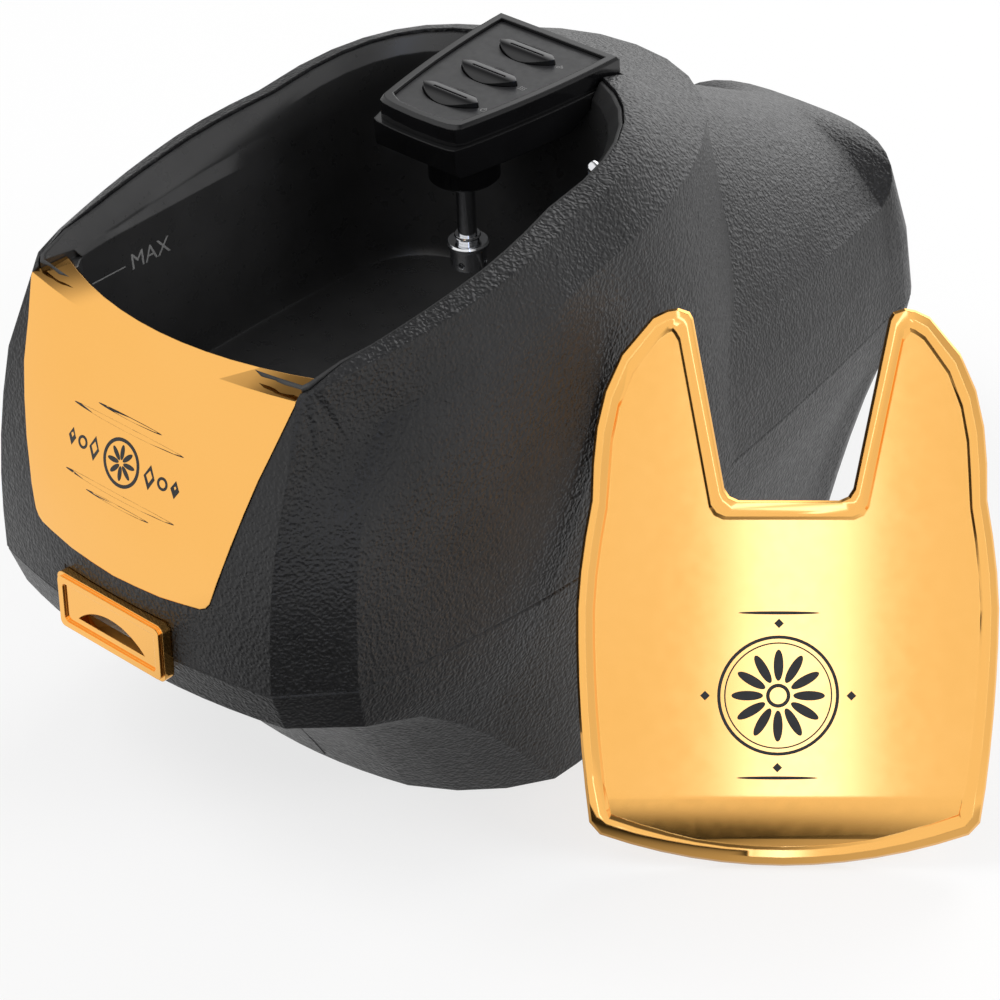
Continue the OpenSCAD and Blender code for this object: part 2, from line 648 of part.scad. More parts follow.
// Upper edge of the sloped band: the seat at the sides, the front wall's edge at the nose
function seat_ring() = let (a = raised(rim_ring(plan_mouth, 1.35, -1.6), 1.6), b = rim_ring(plan_mouth, seat_w + 1.4, -seat_drop))
  [for (i = [0:len(a) - 1]) lerp(a[i], b[i], side_share(b[i][1]))];
function slope_ring(t, dz) = let (a = seat_ring(), b = raised(well_ring(0, 0), -1.4))
  [for (i = [0:len(a) - 1]) lerp(a[i], b[i], t) + [0, 0, dz * side_share(a[i][1])]];
module tank() {
  color(gloss_black)
  difference() {
    union() {
      // Outer wall, flange, upstand, seat, sloped band with its step, well and floor
      loft([pan_ring(4.4 - tank_wall, -tank_wall), pan_ring(2.6 - tank_wall, 2), raised(well_ring(-tank_wall, -5), -3),
        flange_ring(0, -seat_drop - 2.2), flange_ring(0, -seat_drop), under_ring(0.35, -seat_drop),
        raised(rim_ring(plan_mouth, 0.35, -0.8), 1.4), raised(rim_ring(plan_mouth, 1.2, -0.8), 1.4), seat_ring(),
        slope_ring(0.4, 0), slope_ring(0.46, -0.5), slope_ring(1, 0), pan_ring(2.6, 4), pan_ring(4.4, 0)]);
      // Spout under the sump
      translate([0, sump_y, pump_z + pump_high + 0.02]) rod(pass_d + 3.4, floor_z(sump_y) - tank_wall - pump_z - pump_high + 1);
    }
    panel_recess();
    root_slot(0.3);
    translate([0, sump_y, pump_z]) rod(pass_d, 40);
    probe_frame() {
      translate([0, 0, -8]) rod(2.2, 16);
      rod(3.8, 6);
    }
  }
}
// Outer edge of the flange under the rim
function flange_ring(d, dz) = [for (p = plan(inset(plan_band, wall + 0.4 + d))) [p[0], p[1], rim_z(p[1]) - band_drop(p[1]) + dz]];
sump_y = pump_front + pump_len / 2 + 1;
module tank_gasket() {
  color([0.3, 0.3, 0.3])
  difference() {
    loft([flange_ring(0, 0.06 - seat_drop), flange_ring(0, gasket_t - 0.06 - seat_drop)]);
    loft([under_ring(-0.4, -seat_drop - 3), under_ring(-0.4, 5 - seat_drop)]);
    // No gasket along the nose, where the front panel folds in
    translate([-80, mouth_front - 15, part_z]) cube([160, 27, 150]);
    root_slot(0.3);
  }
}
probe_y = -11;
module probe_frame() {
  translate([mouth_hw - 9.4, probe_y, rim_z(probe_y) - seat_drop - 0.6]) rotate([0, -58, 0]) children();
}
module level_probe() {
  color(chrome)
  probe_frame() {
    translate([0, 0, -7]) rod(2.1, 7.5);
    rotate_extrude($fn = 40) polygon([[0, 0.1], [1.8, 0.1], [1.8, 1.2], [1.5, 1.9], [0.9, 2.3], [0, 2.4]]);
  }
}
module floor_frame(y) {
  translate([0, y, floor_z(y) - tank_wall]) rotate([atan(tank_floor_slope), 0, 0]) children();
}
heater_y = -58;
heater_l = 58;
module heater_plate() {
  color(steel)
  floor_frame(heater_y) difference() {
    translate([-28, 0, -3.05]) cube([56, heater_l, 3]);
    for (x = [-22, 22]) for (y = [6, heater_l - 6]) translate([x, y, -5]) rod(3.2, 8);
  }
}
module thermostat() {
  color([0.75, 0.7, 0.6])
  floor_frame(heater_y) translate([12, heater_l - 20, -3.1]) {
    translate([0, 0, -4]) rod(16, 4);
    translate([-10, -2.5, -2.2]) cube([20, 5, 1]);
    for (x = [-9.5, 7.5]) translate([x, -2.5, -8]) cube([2, 5, 6]);
  }
}

// ---- console: its frame has its origin on the tip's top edge ----
module con_frame() {
  translate([0, tip_y, tip_z]) rotate([con_tilt, 0, 0]) children();
}
function con_hw(y) = tip_hw + 0.235 * y - 0.0019 * y * y;
module con_plan(d, y1) {
  g = d > 0 ? 1.6 * d : d;
  c = max(2.2, 1.4 - 1.1 * g);
  side = [for (i = [0:10]) let (y = lerp(c, y1, i / 10)) [con_hw(y) + d, y]];
  nose = [[0, -0.8 - g], [tip_hw * 0.55, -0.5 - g], [tip_hw - 2.2 + d, -g], [tip_hw - 0.6 + d, 0.7 - g]];
  right = concat(nose, side);
  polygon(concat(right, [for (i = [len(right) - 1:-1:1]) [-right[i][0], right[i][1]]]));
}
module con_screw_at() {
  for (x = [-8, 8]) translate([x, con_len - 2.8, 0.5 - root_h]) children();
}
module console_housing() {
  color(gloss_black)
  con_frame() difference() {
    intersection() {
      translate([0, 0, -con_h - 1]) linear_extrude(con_h - border_h + 1) con_plan(root_wide, con_len);
      translate([-40, 0, 0]) rotate([90, 0, 90]) linear_extrude(80)
        polygon([[-2.6, 0], [-2.6, -border_h - 0.6], [-0.6, -con_h + 0.6], [0.2, -con_h], [root_y - 9, -con_h],
          [root_y, -root_h], [con_len + 2, -root_h + 0.7], [con_len + 2, 0]]);
    }
    // Well for the key switches
    translate([0, 0, -board_low]) linear_extrude(con_h) con_plan(-border_w, con_len - border_w - 5);
    con_screw_at() {
      translate([0, 0, -2]) rod(2.1, 8);
      translate([0, 0, -2]) rod(4.3, 3.4);
    }
  }
}
module console_frame() {
  color(gloss_black)
  con_frame() difference() {
    hull() {
      translate([0, 0, -border_h + 0.02]) linear_extrude(border_h - 0.8) con_plan(0.2, con_len);
      translate([0, 0, -0.3]) linear_extrude(0.3) con_plan(-0.5, con_len - 0.4);
    }
    translate([0, 0, -plate_top - plate_t]) linear_extrude(6) con_plan(-border_w, con_len - border_w);
    translate([0, 0, -border_h - 1]) linear_extrude(6) con_plan(-border_w - 2, con_len - border_w - 2.6);
    con_screw_at() rod(2, 5.4);
  }
}
// Leaf outline: two equal arcs that meet at its tips
module leaf(grow) {
  l = key_len + 2 * grow;
  w = key_w + 2 * grow;
  r = (l * l / 4 + w * w / 4) / w;
  intersection() {
    translate([0, r - w / 2]) circle(r, $fn = 72);
    translate([0, w / 2 - r]) circle(r, $fn = 72);
  }
}
module key_place(i) {
  con_frame() translate([0, key_first + key_pitch * i, -plate_top]) children();
}
module button_plate() {
  color([0.3, 0.31, 0.32])
  difference() {
    con_frame() translate([0, 0, -plate_top - plate_t + 0.02]) linear_extrude(plate_t - 0.02)
      con_plan(-border_w - 0.1, con_len - border_w - 0.1);
    for (i = [0:2]) key_place(i) translate([0, 0, -4]) linear_extrude(8) leaf(key_gap);
  }
}
// A key: domed leaf with a grooved back, a flange under the plate and a stem
dome_r = 7;
module key() {
  difference() {
    intersection() {
      translate([0, 0, -plate_t - 0.1]) linear_extrude(plate_t + 0.1 + key_proud) leaf(0);
      translate([-key_len, 0, key_proud - dome_r]) rotate([0, 90, 0]) cylinder(r = dome_r, h = 2 * key_len, $fn = 72);
    }
    translate([-key_len * 0.3, -0.3, key_proud - 0.5]) cube([key_len * 0.6, 0.6, 2]);
  }
  translate([0, 0, -plate_t - key_flange - 0.02]) linear_extrude(key_flange) leaf(0.9);
  translate([0, 0, -plate_t - key_flange - stem_h]) rod(3, stem_h + 0.2);
}
module button_power() {
  color(gloss_black) key_place(0) key();
}
module button_heat() {
  color(gloss_black) key_place(1) key();
}
module button_lather() {
  color(gloss_black) key_place(2) key();
}
module switch_board() {
  color([0.1, 0.35, 0.2])
  con_frame() {
    difference() {
      translate([0, 0, -board_low]) linear_extrude(board_t) intersection() {
        con_plan(-border_w - 0.8, con_len - border_w - 6);
        translate([-40, 2.8]) square([80, con_len]);
      }
      for (x = [-1, 1]) translate([x * 8.5, 7, -con_h]) rod(2, 20);
    }
    for (i = [0:2]) translate([0, key_first + key_pitch * i, -switch_top - switch_h]) {
      translate([-3, -3, 0]) cube([6, 6, switch_h - 0.5]);
      rod(3, switch_h);
    }
  }
}
module console_screws() {
  color(steel)
  con_frame() con_screw_at() translate([0, 0, 1.38]) screw(2, 3.8, 4, 1.2);
}

// ---- mixer ----
module mix_frame() {
  con_frame() translate([0, mix_off, -con_h]) children();
}
module mixer_motor() {
  color(steel)
  mix_frame() translate([0, 0, -collar_len + 2]) difference() {
    union() {
      rod(collar_d - 4.2, collar_len - 2.1);
    }
    translate([0, 0, -1]) rod(shaft_d + 2 * run_clear, 7);
  }
}
module motor_collar() {
  color(gloss_black)
  mix_frame() rotate_extrude($fn = 64) polygon([[shaft_d / 2 + 0.4, -collar_len + 1.4], [4.5, -collar_len + 1.4],
    [4.5, -collar_len], [collar_d / 2 - 0.6, -collar_len], [collar_d / 2, -collar_len + 0.6], [collar_d / 2, 0],
    [collar_d / 2 - 2, 0], [collar_d / 2 - 2, -collar_len + 2], [shaft_d / 2 + 0.4, -collar_len + 2]]);
}
module shaft_seal() {
  color([0.25, 0.25, 0.25])
  mix_frame() translate([0, 0, -collar_len]) difference() {
    rod(9, 1.4);
    translate([0, 0, -1]) rod(shaft_d + 2 * run_clear, 4);
  }
}
bell_top = collar_len + shaft_show;
module mixer_shaft() {
  color(chrome)
  mix_frame() translate([0, 0, -bell_top - 6.5]) rod(shaft_d, shaft_show + 6.5 + 7);
}
module mixer_bell() {
  r = bell_d / 2;
  color(chrome)
  mix_frame() translate([0, 0, -bell_top]) difference() {
    rotate_extrude($fn = 64) polygon([[shaft_d / 2, 0], [3.3, 0], [3.5, -0.5], [3.3, -1], [3, -1.2], [3, -2], [r - 0.4, -2],
      [r, -2.5], [r, -3.2], [r - 0.5, -3.7], [r - 0.8, -3.9], [r - 0.8, -bell_h + 0.4], [r - 1.2, -bell_h], [3.2, -bell_h],
      [3.2, -6.6], [shaft_d / 2, -6.6]]);
    for (a = [20:90:290]) rotate([0, 0, a]) translate([0, 0, -7.4]) rotate([90, 0, 0]) rod(1.8, 10);
  }
}

// ---- gear pump ----
gear_m = 2 * gear_r / gear_teeth;
gear_tip = gear_r + gear_m * 0.9;
gear_root = gear_r - gear_m * 1.15;
gear_t = pump_len - 6.2;
pump_low = 15;
pump_high = 13;
pump_w = 44;
cover_t = 4;
port_z = moon_z;
// Involute flank, one side of a tooth centred on the X axis
base_r = gear_r * cos(20);
function inv_roll(r) = r <= base_r ? 0 : sqrt(pow(r / base_r, 2) - 1) * 180 / PI;
function inv_angle(r) = r <= base_r ? 0 : inv_roll(r) - acos(base_r / r);
function flank(r) = 90 / gear_teeth - 1.1 + inv_angle(gear_r) - inv_angle(r);
module gear_outline() {
  steps = 4;
  radii = concat([gear_root], [for (i = [0:steps]) lerp(max(base_r, gear_root + 0.2), gear_tip, i / steps)]);
  polygon([for (k = [0:gear_teeth - 1]) let (c = 360 * k / gear_teeth) for (p = concat(
    [for (i = [0:len(radii) - 1]) [radii[i], -flank(radii[i])]],
    [for (i = [len(radii) - 1:-1:0]) [radii[i], flank(radii[i])]])) [p[0] * cos(c + p[1]), p[0] * sin(c + p[1])]]);
}
module gear_place(side) {
  place_x = side * gear_r;
  translate([place_x, 0, pump_z]) rotate([-90, 0, 0]) children();
}
module bolt_at() {
  for (x = [-1, 1]) for (z = [-pump_low + 3.5, pump_high - 3.5])
    translate([x * (pump_w / 2 - 3.5), 0, pump_z + z]) rotate([-90, 0, 0]) children();
}
module pump_housing() {
  y1 = pump_front + pump_len;
  color([0.8, 0.8, 0.78])
  difference() {
    translate([-pump_w / 2, pump_front, pump_z - pump_low]) cube([pump_w, pump_len, pump_low + pump_high]);
    for (s = [-1, 1]) gear_place(s) translate([0, 0, pump_front - 1]) rod(2 * gear_tip + 0.3, gear_t + 1.2);
    gear_place(-1) translate([0, 0, pump_front]) rod(shaft_d + 2 * run_clear, pump_len + 1);
    gear_place(1) translate([0, 0, pump_front]) rod(4 + 2 * run_clear, pump_len - 2.5);
    translate([0, sump_y, pump_z]) rod(pass_d - 1, pump_high + 1);
    translate([0, pump_front + 5, port_z]) rod(pass_d - 1, pump_z - port_z);
    place_y(pump_front - 1, port_z) rod(pass_d, 6);
    bolt_at() translate([0, 0, pump_front - 1]) rod(3.1, 13);
  }
}
module pump_cover() {
  color([0.8, 0.8, 0.78])
  difference() {
    translate([-pump_w / 2, pump_front - cover_t, pump_z - pump_low]) cube([pump_w, cover_t - 0.02, pump_low + pump_high]);
    gear_place(-1) translate([0, 0, pump_front - 2.6]) rod(shaft_d + 2 * run_clear, 4);
    gear_place(1) translate([0, 0, pump_front - 2.6]) rod(4 + 2 * run_clear, 4);
    place_y(pump_front - cover_t - 1, port_z) rod(pass_d, cover_t + 2);
    bolt_at() translate([0, 0, pump_front - cover_t - 1]) rod(3.3, cover_t + 2);
  }
}
module pump_screws() {
  color(steel) bolt_at() translate([0, 0, pump_front - cover_t - 0.02]) screw(3, 14, 5.4, 1.8);
}
module pump_drive_gear() {
  color(steel)
  gear_place(-1) {
    translate([0, 0, pump_front + 0.05]) linear_extrude(gear_t) gear_outline();
    translate([0, 0, pump_front - 2.4]) rod(shaft_d, pump_len + 2.4 + 10);
  }
}
module pump_idler_gear() {
  color(steel)
  gear_place(1) {
    translate([0, 0, pump_front + 0.05]) linear_extrude(gear_t) rotate([0, 0, 180 / gear_teeth]) gear_outline();
    translate([0, 0, pump_front - 2.4]) rod(4, pump_len - 0.3);
  }
}
module pump_motor() {
  color(steel)
  gear_place(-1) translate([0, 0, pump_front + pump_len]) difference() {
    union() {
      rod(pump_motor_d, pump_motor_len);
      translate([0, 0, pump_motor_len]) rod(10, 3);
      for (x = [-6, 6]) translate([x - 0.4, -2, pump_motor_len]) cube([0.8, 4, 6]);
    }
    translate([0, 0, -1]) rod(shaft_d + 2 * run_clear, 12);
  }
}

// ---- electrics ----
module power_board() {
  translate([0, 0, board_z]) {
    color([0.1, 0.35, 0.2]) difference() {
      translate([-board_w / 2, board_y, 0.02]) cube([board_w, board_l, 1.6]);
      for (p = board_at) translate([p[0], p[1], -1]) rod(3.2, 4);
    }
    color([0.9, 0.8, 0.3]) translate([-22, board_y + 20, 1.6]) cube([26, 22, 18]);
    color([0.2, 0.2, 0.25]) for (y = [14, 28, 42]) translate([18, board_y + y, 1.6]) rod(9, 14);
    color(steel) for (i = [0:4]) translate([-33, board_y + 14 + i * 6, 1.6]) cube([8, 1.4, 14]);
    color(steel) translate([-33, board_y + 14, 1.6]) cube([8, 25.4, 2]);
  }
}
module board_screws() {
  color(steel)
  for (p = board_at) translate([p[0], p[1], board_z + 1.64]) rotate([180, 0, 0]) screw(2.4, 7, 5, 1.6);
}
module power_inlet() {
  color([0.07, 0.07, 0.07])
  inlet_frame() difference() {
    union() {
      translate([0, -15, 0]) block(inlet_w, 16, inlet_h);
      translate([0, -0.88, 0]) block(inlet_w + 5, 2, inlet_h + 5);
    }
    translate([0, -10, 0]) {
      block(8.6, 14, 8);
      for (x = [-4.3, 4.3]) translate([x, 0, 0]) rotate([-90, 0, 0]) rod(8, 14);
    }
    for (x = [-4.3, 4.3]) translate([x, -16, 0]) rotate([-90, 0, 0]) rod(2.4, 8);
  }
}
module inlet_pins() {
  color(steel)
  inlet_frame() for (x = [-4.3, 4.3]) translate([x, -18, 0]) rotate([-90, 0, 0]) rod(2.4, 16.5);
}

// ---- lid ----
// Height of the lid's underside over a station
function lid_z(y) = rim_front_z + 0.2 + rim_slope * (y - rim_y0) - rim_fall * 0.6 * pow(max(0, rim_y0 - y), 2);
module lid_strips(up, y0, y1) {
  n = 16;
  top = [for (i = [0:n]) let (y = lerp(y0, y1, 1 - pow(1 - i / n, 1.4))) [y, lid_z(y) + up]];
  translate([-70, 0, 0]) rotate([90, 0, 90]) linear_extrude(140)
    polygon(concat(top, [[y1, part_z], [y0, part_z]]));
}
horn_y = mouth_rear - 7;
plan_lid = [mouth_front - 5, 8, mouth_hw - 5.5, mouth_hw - 3, mouth_front + 6, 0,
  mouth_hw + lid_lap, wide_y - 17, mouth_hw + lid_lap - 3.5, wide_y + 11, mouth_rear + lid_lap, 2.6];
function lid_x(y, d) = let (s = inset(plan_lid, d)) y < s[9] ? side_x(s, y)
  : let (q = min(1, (y - s[9]) / (s[10] - s[9]))) s[8] * pow(1 - pow(q, s[11]), 1 / s[11]);
notch_y = tip_y - 1.6 * root_wide - notch_gap - 0.8;
function notch_x(y, d) = lerp(tip_hw + root_wide + notch_gap, notch_hw, (y - notch_y) / (horn_y - notch_y)) + d;
// Lid outline drawn in by d: round the front, up the side, over the horn and down the notch
function lid_half(d) = let (s = inset(plan_lid, d), end = horn_y - 1.2 * d, a = lid_x(end, d), b = notch_x(end, d),
    ny = notch_y - d) concat(
  [for (i = [0:nose_n]) let (u = i / nose_n) [s[2] * u, s[0] + s[1] * u * u]],
  [for (i = [0:14]) let (y = lerp(s[4], end - 1.6, i / 14)) [lid_x(y, d), y]],
  [[lerp(b, a, 0.8), end], [lerp(b, a, 0.45), end + 0.4], [b + 0.5, end - 0.5]],
  [for (i = [0:6]) let (y = lerp(end - 2, ny + 3, i / 6)) [notch_x(y, d), y]],
  [[notch_x(ny, d) - 0.7, ny + 1], [notch_x(ny, d) - 3, ny]]);
function lid_outline(d) = let (h = lid_half(d)) concat(h, [for (i = [len(h) - 1:-1:1]) [-h[i][0], h[i][1]]]);
module lid_wall(d1, d2, up1, up2) {
  y0 = mouth_front - 12;
  y1 = mouth_rear + 8;
  difference() {
    intersection() {
      lid_strips(up2, y0, y1);
      translate([0, 0, part_z]) linear_extrude(150) difference() {
        polygon(lid_outline(d1));
        if (d2 > 0) polygon(lid_outline(d2));
      }
    }
    lid_strips(up1, y0 - 5, y1 + 5);
  }
}
// Section of the rolled bead: inset from the edge and height over the underside
bead = [[-0.35, 0.5], [-0.35, lid_t], [0.2, lid_t + 0.75 * bead_h], [bead_w * 0.4, lid_t + bead_h],
  [bead_w * 0.8, lid_t + 0.55 * bead_h], [bead_w, lid_t - 0.3], [bead_w * 0.6, 0.5]];
module lid_seated() {
  lid_wall(0, 0, 0, lid_t);
  loop_loft([for (q = bead) [for (p = lid_outline(q[0])) [p[0], p[1], lid_z(p[1]) + q[1]]]]);
  // Locating skirt inside the opening
  intersection() {
    lid_wall(3.4, 4.8, -skirt_h, 0.5);
    translate([-80, rim_y0 + 2, 0]) cube([160, 150, 300]);
  }
}
rim_tilt = atan(rim_slope);
seat_at = [0, plan_lid[0], lid_z(plan_lid[0])];
module lid_own() {
  rotate([-rim_tilt, 0, 0]) translate(-seat_at) children();
}
module lid_stood() {
  translate(stand_at) rotate([90 - stand_lean, 0, stand_turn]) lid_own() children();
}
module lid() {
  color(gold) lid_stood() lid_seated();
}

upper_shell();
base_shell();
foot_pads();
shell_screws();
front_panel();
outlet_bezel();
outlet_duct();
tank();
tank_gasket();
level_probe();
heater_plate();
thermostat();
console_housing();
console_frame();
button_plate();
button_power();
button_heat();
button_lather();
switch_board();
console_screws();
mixer_motor();
motor_collar();
shaft_seal();
mixer_shaft();
mixer_bell();
pump_housing();
pump_cover();
pump_screws();
pump_drive_gear();
pump_idler_gear();
pump_motor();
power_board();
board_screws();
power_inlet();
inlet_pins();
lid();
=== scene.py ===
"""Looks of a barber's hot lather machine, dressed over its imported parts.

Every piece stands in the machine's own frame, in metres: front -Y, up +Z, and the
origin in the middle of the base on the counter.
"""
import logging
import math
from dataclasses import dataclass, field
from enum import Enum
from typing import Iterable, Sequence

import bpy
from mathutils import Matrix, Vector


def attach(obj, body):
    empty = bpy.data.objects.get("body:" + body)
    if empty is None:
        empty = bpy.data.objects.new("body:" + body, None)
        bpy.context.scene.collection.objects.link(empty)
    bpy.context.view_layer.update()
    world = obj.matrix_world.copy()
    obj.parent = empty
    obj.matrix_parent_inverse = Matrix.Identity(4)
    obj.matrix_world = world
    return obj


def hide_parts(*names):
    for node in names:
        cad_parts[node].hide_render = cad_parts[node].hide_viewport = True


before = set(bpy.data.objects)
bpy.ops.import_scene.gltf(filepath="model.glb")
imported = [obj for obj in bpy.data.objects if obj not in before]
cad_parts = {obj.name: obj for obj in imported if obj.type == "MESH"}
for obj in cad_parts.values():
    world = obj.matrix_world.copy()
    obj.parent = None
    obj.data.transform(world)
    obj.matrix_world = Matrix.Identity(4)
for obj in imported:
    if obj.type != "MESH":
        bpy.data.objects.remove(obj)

LOG = logging.getLogger("lather_machine")
MM = 0.001
WELD = 2e-6             # metres within which two points of a copied mesh are one
FLAT_WEIGHT = 80        # how far large faces keep themselves flat against small ones
NOISE_SPAN = (0.3, 0.7)  # what the values of a noise mostly keep to

Pair = tuple[float, float]
Point = tuple[float, float, float]
Colour = tuple[float, float, float]
Value = bpy.types.NodeSocket | float | Sequence[float]


# ---------------------------------------------------------------- operators

def only(*objects: bpy.types.Object) -> None:
    """Selects these objects alone and makes the first one active."""
    bpy.ops.object.select_all(action="DESELECT")
    for item in objects:
        item.select_set(True)
    bpy.context.view_layer.objects.active = objects[0]


def active(name: str) -> bpy.types.Object:
    """Names the object that an operator has just added and returns it."""
    item = bpy.context.view_layer.objects.active
    item.name = name
    item.data.name = name
    return item


def settle(item: bpy.types.Object) -> bpy.types.Object:
    """Applies every modifier and puts the object at the origin, its place in its mesh.

    Args:
        item: A mesh object in its final place.

    Returns:
        The same object.
    """
    only(item)
    for modifier in list(item.modifiers):
        bpy.ops.object.modifier_apply(modifier=modifier.name)
    bpy.ops.object.transform_apply(location=True, rotation=True, scale=True)
    return item


def joined(name: str, parts: Sequence[bpy.types.Object]) -> bpy.types.Object:
    """Joins parts into one object.

    Args:
        name: Name of the result.
        parts: Mesh objects, the first of which takes the others in.

    Returns:
        The joined object.
    """
    only(*parts)
    if len(parts) > 1:
        bpy.ops.object.join()
    return active(name)


def smooth_copy(node: str, name: str, angle_deg: float, melt_deg: float = 0.4,
                weighted: bool = True) -> bpy.types.Object:
    """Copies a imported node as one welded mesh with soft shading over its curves.

    Args:
        node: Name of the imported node.
        name: Name of the new piece.
        angle_deg: Edges flatter than this are shaded soft.
        melt_deg: Faces flatter than this to each other become one.
        weighted: Whether large faces keep themselves flat against small ones.

    Returns:
        The new piece, which stands for the node.
    """
    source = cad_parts[node]
    item = bpy.data.objects.new(name, source.data.copy())
    bpy.context.scene.collection.objects.link(item)
    item.data.materials.clear()
    only(item)
    if item.data.has_custom_normals:
        bpy.ops.mesh.customdata_custom_splitnormals_clear()
    bpy.ops.object.mode_set(mode="EDIT")
    bpy.ops.mesh.select_all(action="SELECT")
    bpy.ops.mesh.remove_doubles(threshold=WELD)
    bpy.ops.mesh.dissolve_limited(angle_limit=math.radians(melt_deg))
    bpy.ops.object.mode_set(mode="OBJECT")
    bpy.ops.object.shade_smooth_by_angle(angle=math.radians(angle_deg))
    if weighted:
        weights = item.modifiers.new("weights", "WEIGHTED_NORMAL")
        weights.keep_sharp = True
        weights.weight = FLAT_WEIGHT
    return settle(item)


# ---------------------------------------------------------------- finishes

class Sheet:
    """A node tree, with short ways to add, link and reckon."""

    def __init__(self, tree: bpy.types.NodeTree) -> None:
        """Keeps the tree."""
        self.tree = tree

    def add(self, kind: str, **settings: object) -> bpy.types.Node:
        """Adds a node.

        Args:
            kind: Blender's name of the node type.
            **settings: Properties of the node to set.

        Returns:
            The new node.
        """
        node = self.tree.nodes.new(kind)
        for key, value in settings.items():
            setattr(node, key, value)
        return node

    def link(self, start: bpy.types.NodeSocket, end: bpy.types.NodeSocket) -> None:
        """Links two sockets."""
        self.tree.links.new(start, end)

    def feed(self, end: bpy.types.NodeSocket, value: Value) -> None:
        """Links a socket to an input, or sets the input to a constant."""
        if isinstance(value, bpy.types.NodeSocket):
            self.link(value, end)
        else:
            end.default_value = value

    def reckon(self, operation: str, *values: Value) -> bpy.types.NodeSocket:
        """Result of one sum on the values."""
        node = self.add("ShaderNodeMath", operation=operation)
        for end, value in zip(node.inputs, values):
            self.feed(end, value)
        return node.outputs[0]

    def ease(self, value: bpy.types.NodeSocket, span: Pair, level: Pair) -> bpy.types.NodeSocket:
        """Carries a value smoothly from one range to another.

        Args:
            value: The value's socket.
            span: Where the result starts and ends to change.
            level: Result before and after that stretch.

        Returns:
            The eased value's socket.
        """
        node = self.add("ShaderNodeMapRange", interpolation_type="SMOOTHSTEP")
        for key, number in zip(("From Min", "From Max", "To Min", "To Max"), (*span, *level)):
            node.inputs[key].default_value = number
        self.link(value, node.inputs["Value"])
        return node.outputs["Result"]


class NodeSheet(Sheet):
    """A material's node tree."""

    def __init__(self, name: str) -> None:
        """Starts a material of this name with a shader and an output."""
        self.material = bpy.data.materials.new(f"finish_{name}")
        self.material.use_nodes = True
        super().__init__(self.material.node_tree)
        self.shader = self.tree.nodes["Principled BSDF"]
        self.place = self.add("ShaderNodeTexCoord").outputs["Object"]

    def noise(self, scale: float, detail: float = 3.0) -> bpy.types.NodeSocket:
        """A noise value over the object's own coordinates, with so many cells a metre."""
        node = self.add("ShaderNodeTexNoise")
        node.inputs["Scale"].default_value = scale
        node.inputs["Detail"].default_value = detail
        self.link(self.place, node.inputs["Vector"])
        return node.outputs["Fac"]

    def cells(self, scale: float, melt: float, place: bpy.types.NodeSocket) -> bpy.types.NodeSocket:
        """Soft pebbles, as on moulded leather grain.

        Args:
            scale: Pebbles in a metre.
            melt: How far they melt into each other, up to 1.
            place: Socket with the place on the surface.

        Returns:
            The socket of the pebbles' height.
        """
        node = self.add("ShaderNodeTexVoronoi", feature="SMOOTH_F1")
        node.inputs["Scale"].default_value = scale
        node.inputs["Smoothness"].default_value = melt
        self.link(place, node.inputs["Vector"])
        return node.outputs["Distance"]

    def spread(self, value: bpy.types.NodeSocket, low: float, high: float) -> bpy.types.NodeSocket:
        """Maps a value from its middle range to a low and a high figure.

        Args:
            value: Socket with a value around one half.
            low: Result at the start of that range and below.
            high: Result at its end and above.

        Returns:
            The mapped value's socket.
        """
        node = self.add("ShaderNodeMapRange")
        for key, number in zip(("From Min", "From Max", "To Min", "To Max"), (*NOISE_SPAN, low, high)):
            node.inputs[key].default_value = number
        self.link(value, node.inputs["Value"])
        return node.outputs["Result"]

    def tint(self, value: bpy.types.NodeSocket, low: Colour, high: Colour) -> None:
        """Colours the surface between two colours by a value."""
        node = self.add("ShaderNodeValToRGB")
        ramp = node.color_ramp
        ramp.elements[0].position, ramp.elements[1].position = NOISE_SPAN
        ramp.elements[0].color = (*low, 1)
        ramp.elements[1].color = (*high, 1)
        self.link(value, node.inputs["Fac"])
        self.link(node.outputs["Color"], self.shader.inputs["Base Color"])

    def relief(self, height: bpy.types.NodeSocket | None, depth: float, edge: float = 0.0) -> None:
        """Gives the surface a relief and rounds its edges to the eye.

        Args:
            height: Value of the relief, or None for rounding alone.
            depth: Depth of the relief in metres.
            edge: Radius in metres by which sharp edges look rounded.
        """
        rounding = None
        if edge:
            rounding = self.add("ShaderNodeBevel", samples=4)
            rounding.inputs["Radius"].default_value = edge
        if height is None:
            if rounding:
                self.link(rounding.outputs["Normal"], self.shader.inputs["Normal"])
            return
        bump = self.add("ShaderNodeBump")
        bump.inputs["Strength"].default_value = 1.0
        bump.inputs["Distance"].default_value = depth
        self.link(height, bump.inputs["Height"])
        if rounding:
            self.link(rounding.outputs["Normal"], bump.inputs["Normal"])
        self.link(bump.outputs["Normal"], self.shader.inputs["Normal"])

    def level(self, **values: float) -> None:
        """Sets constant shader numbers by socket name, with _ for a space."""
        for key, value in values.items():
            self.shader.inputs[key.replace("_", " ")].default_value = value


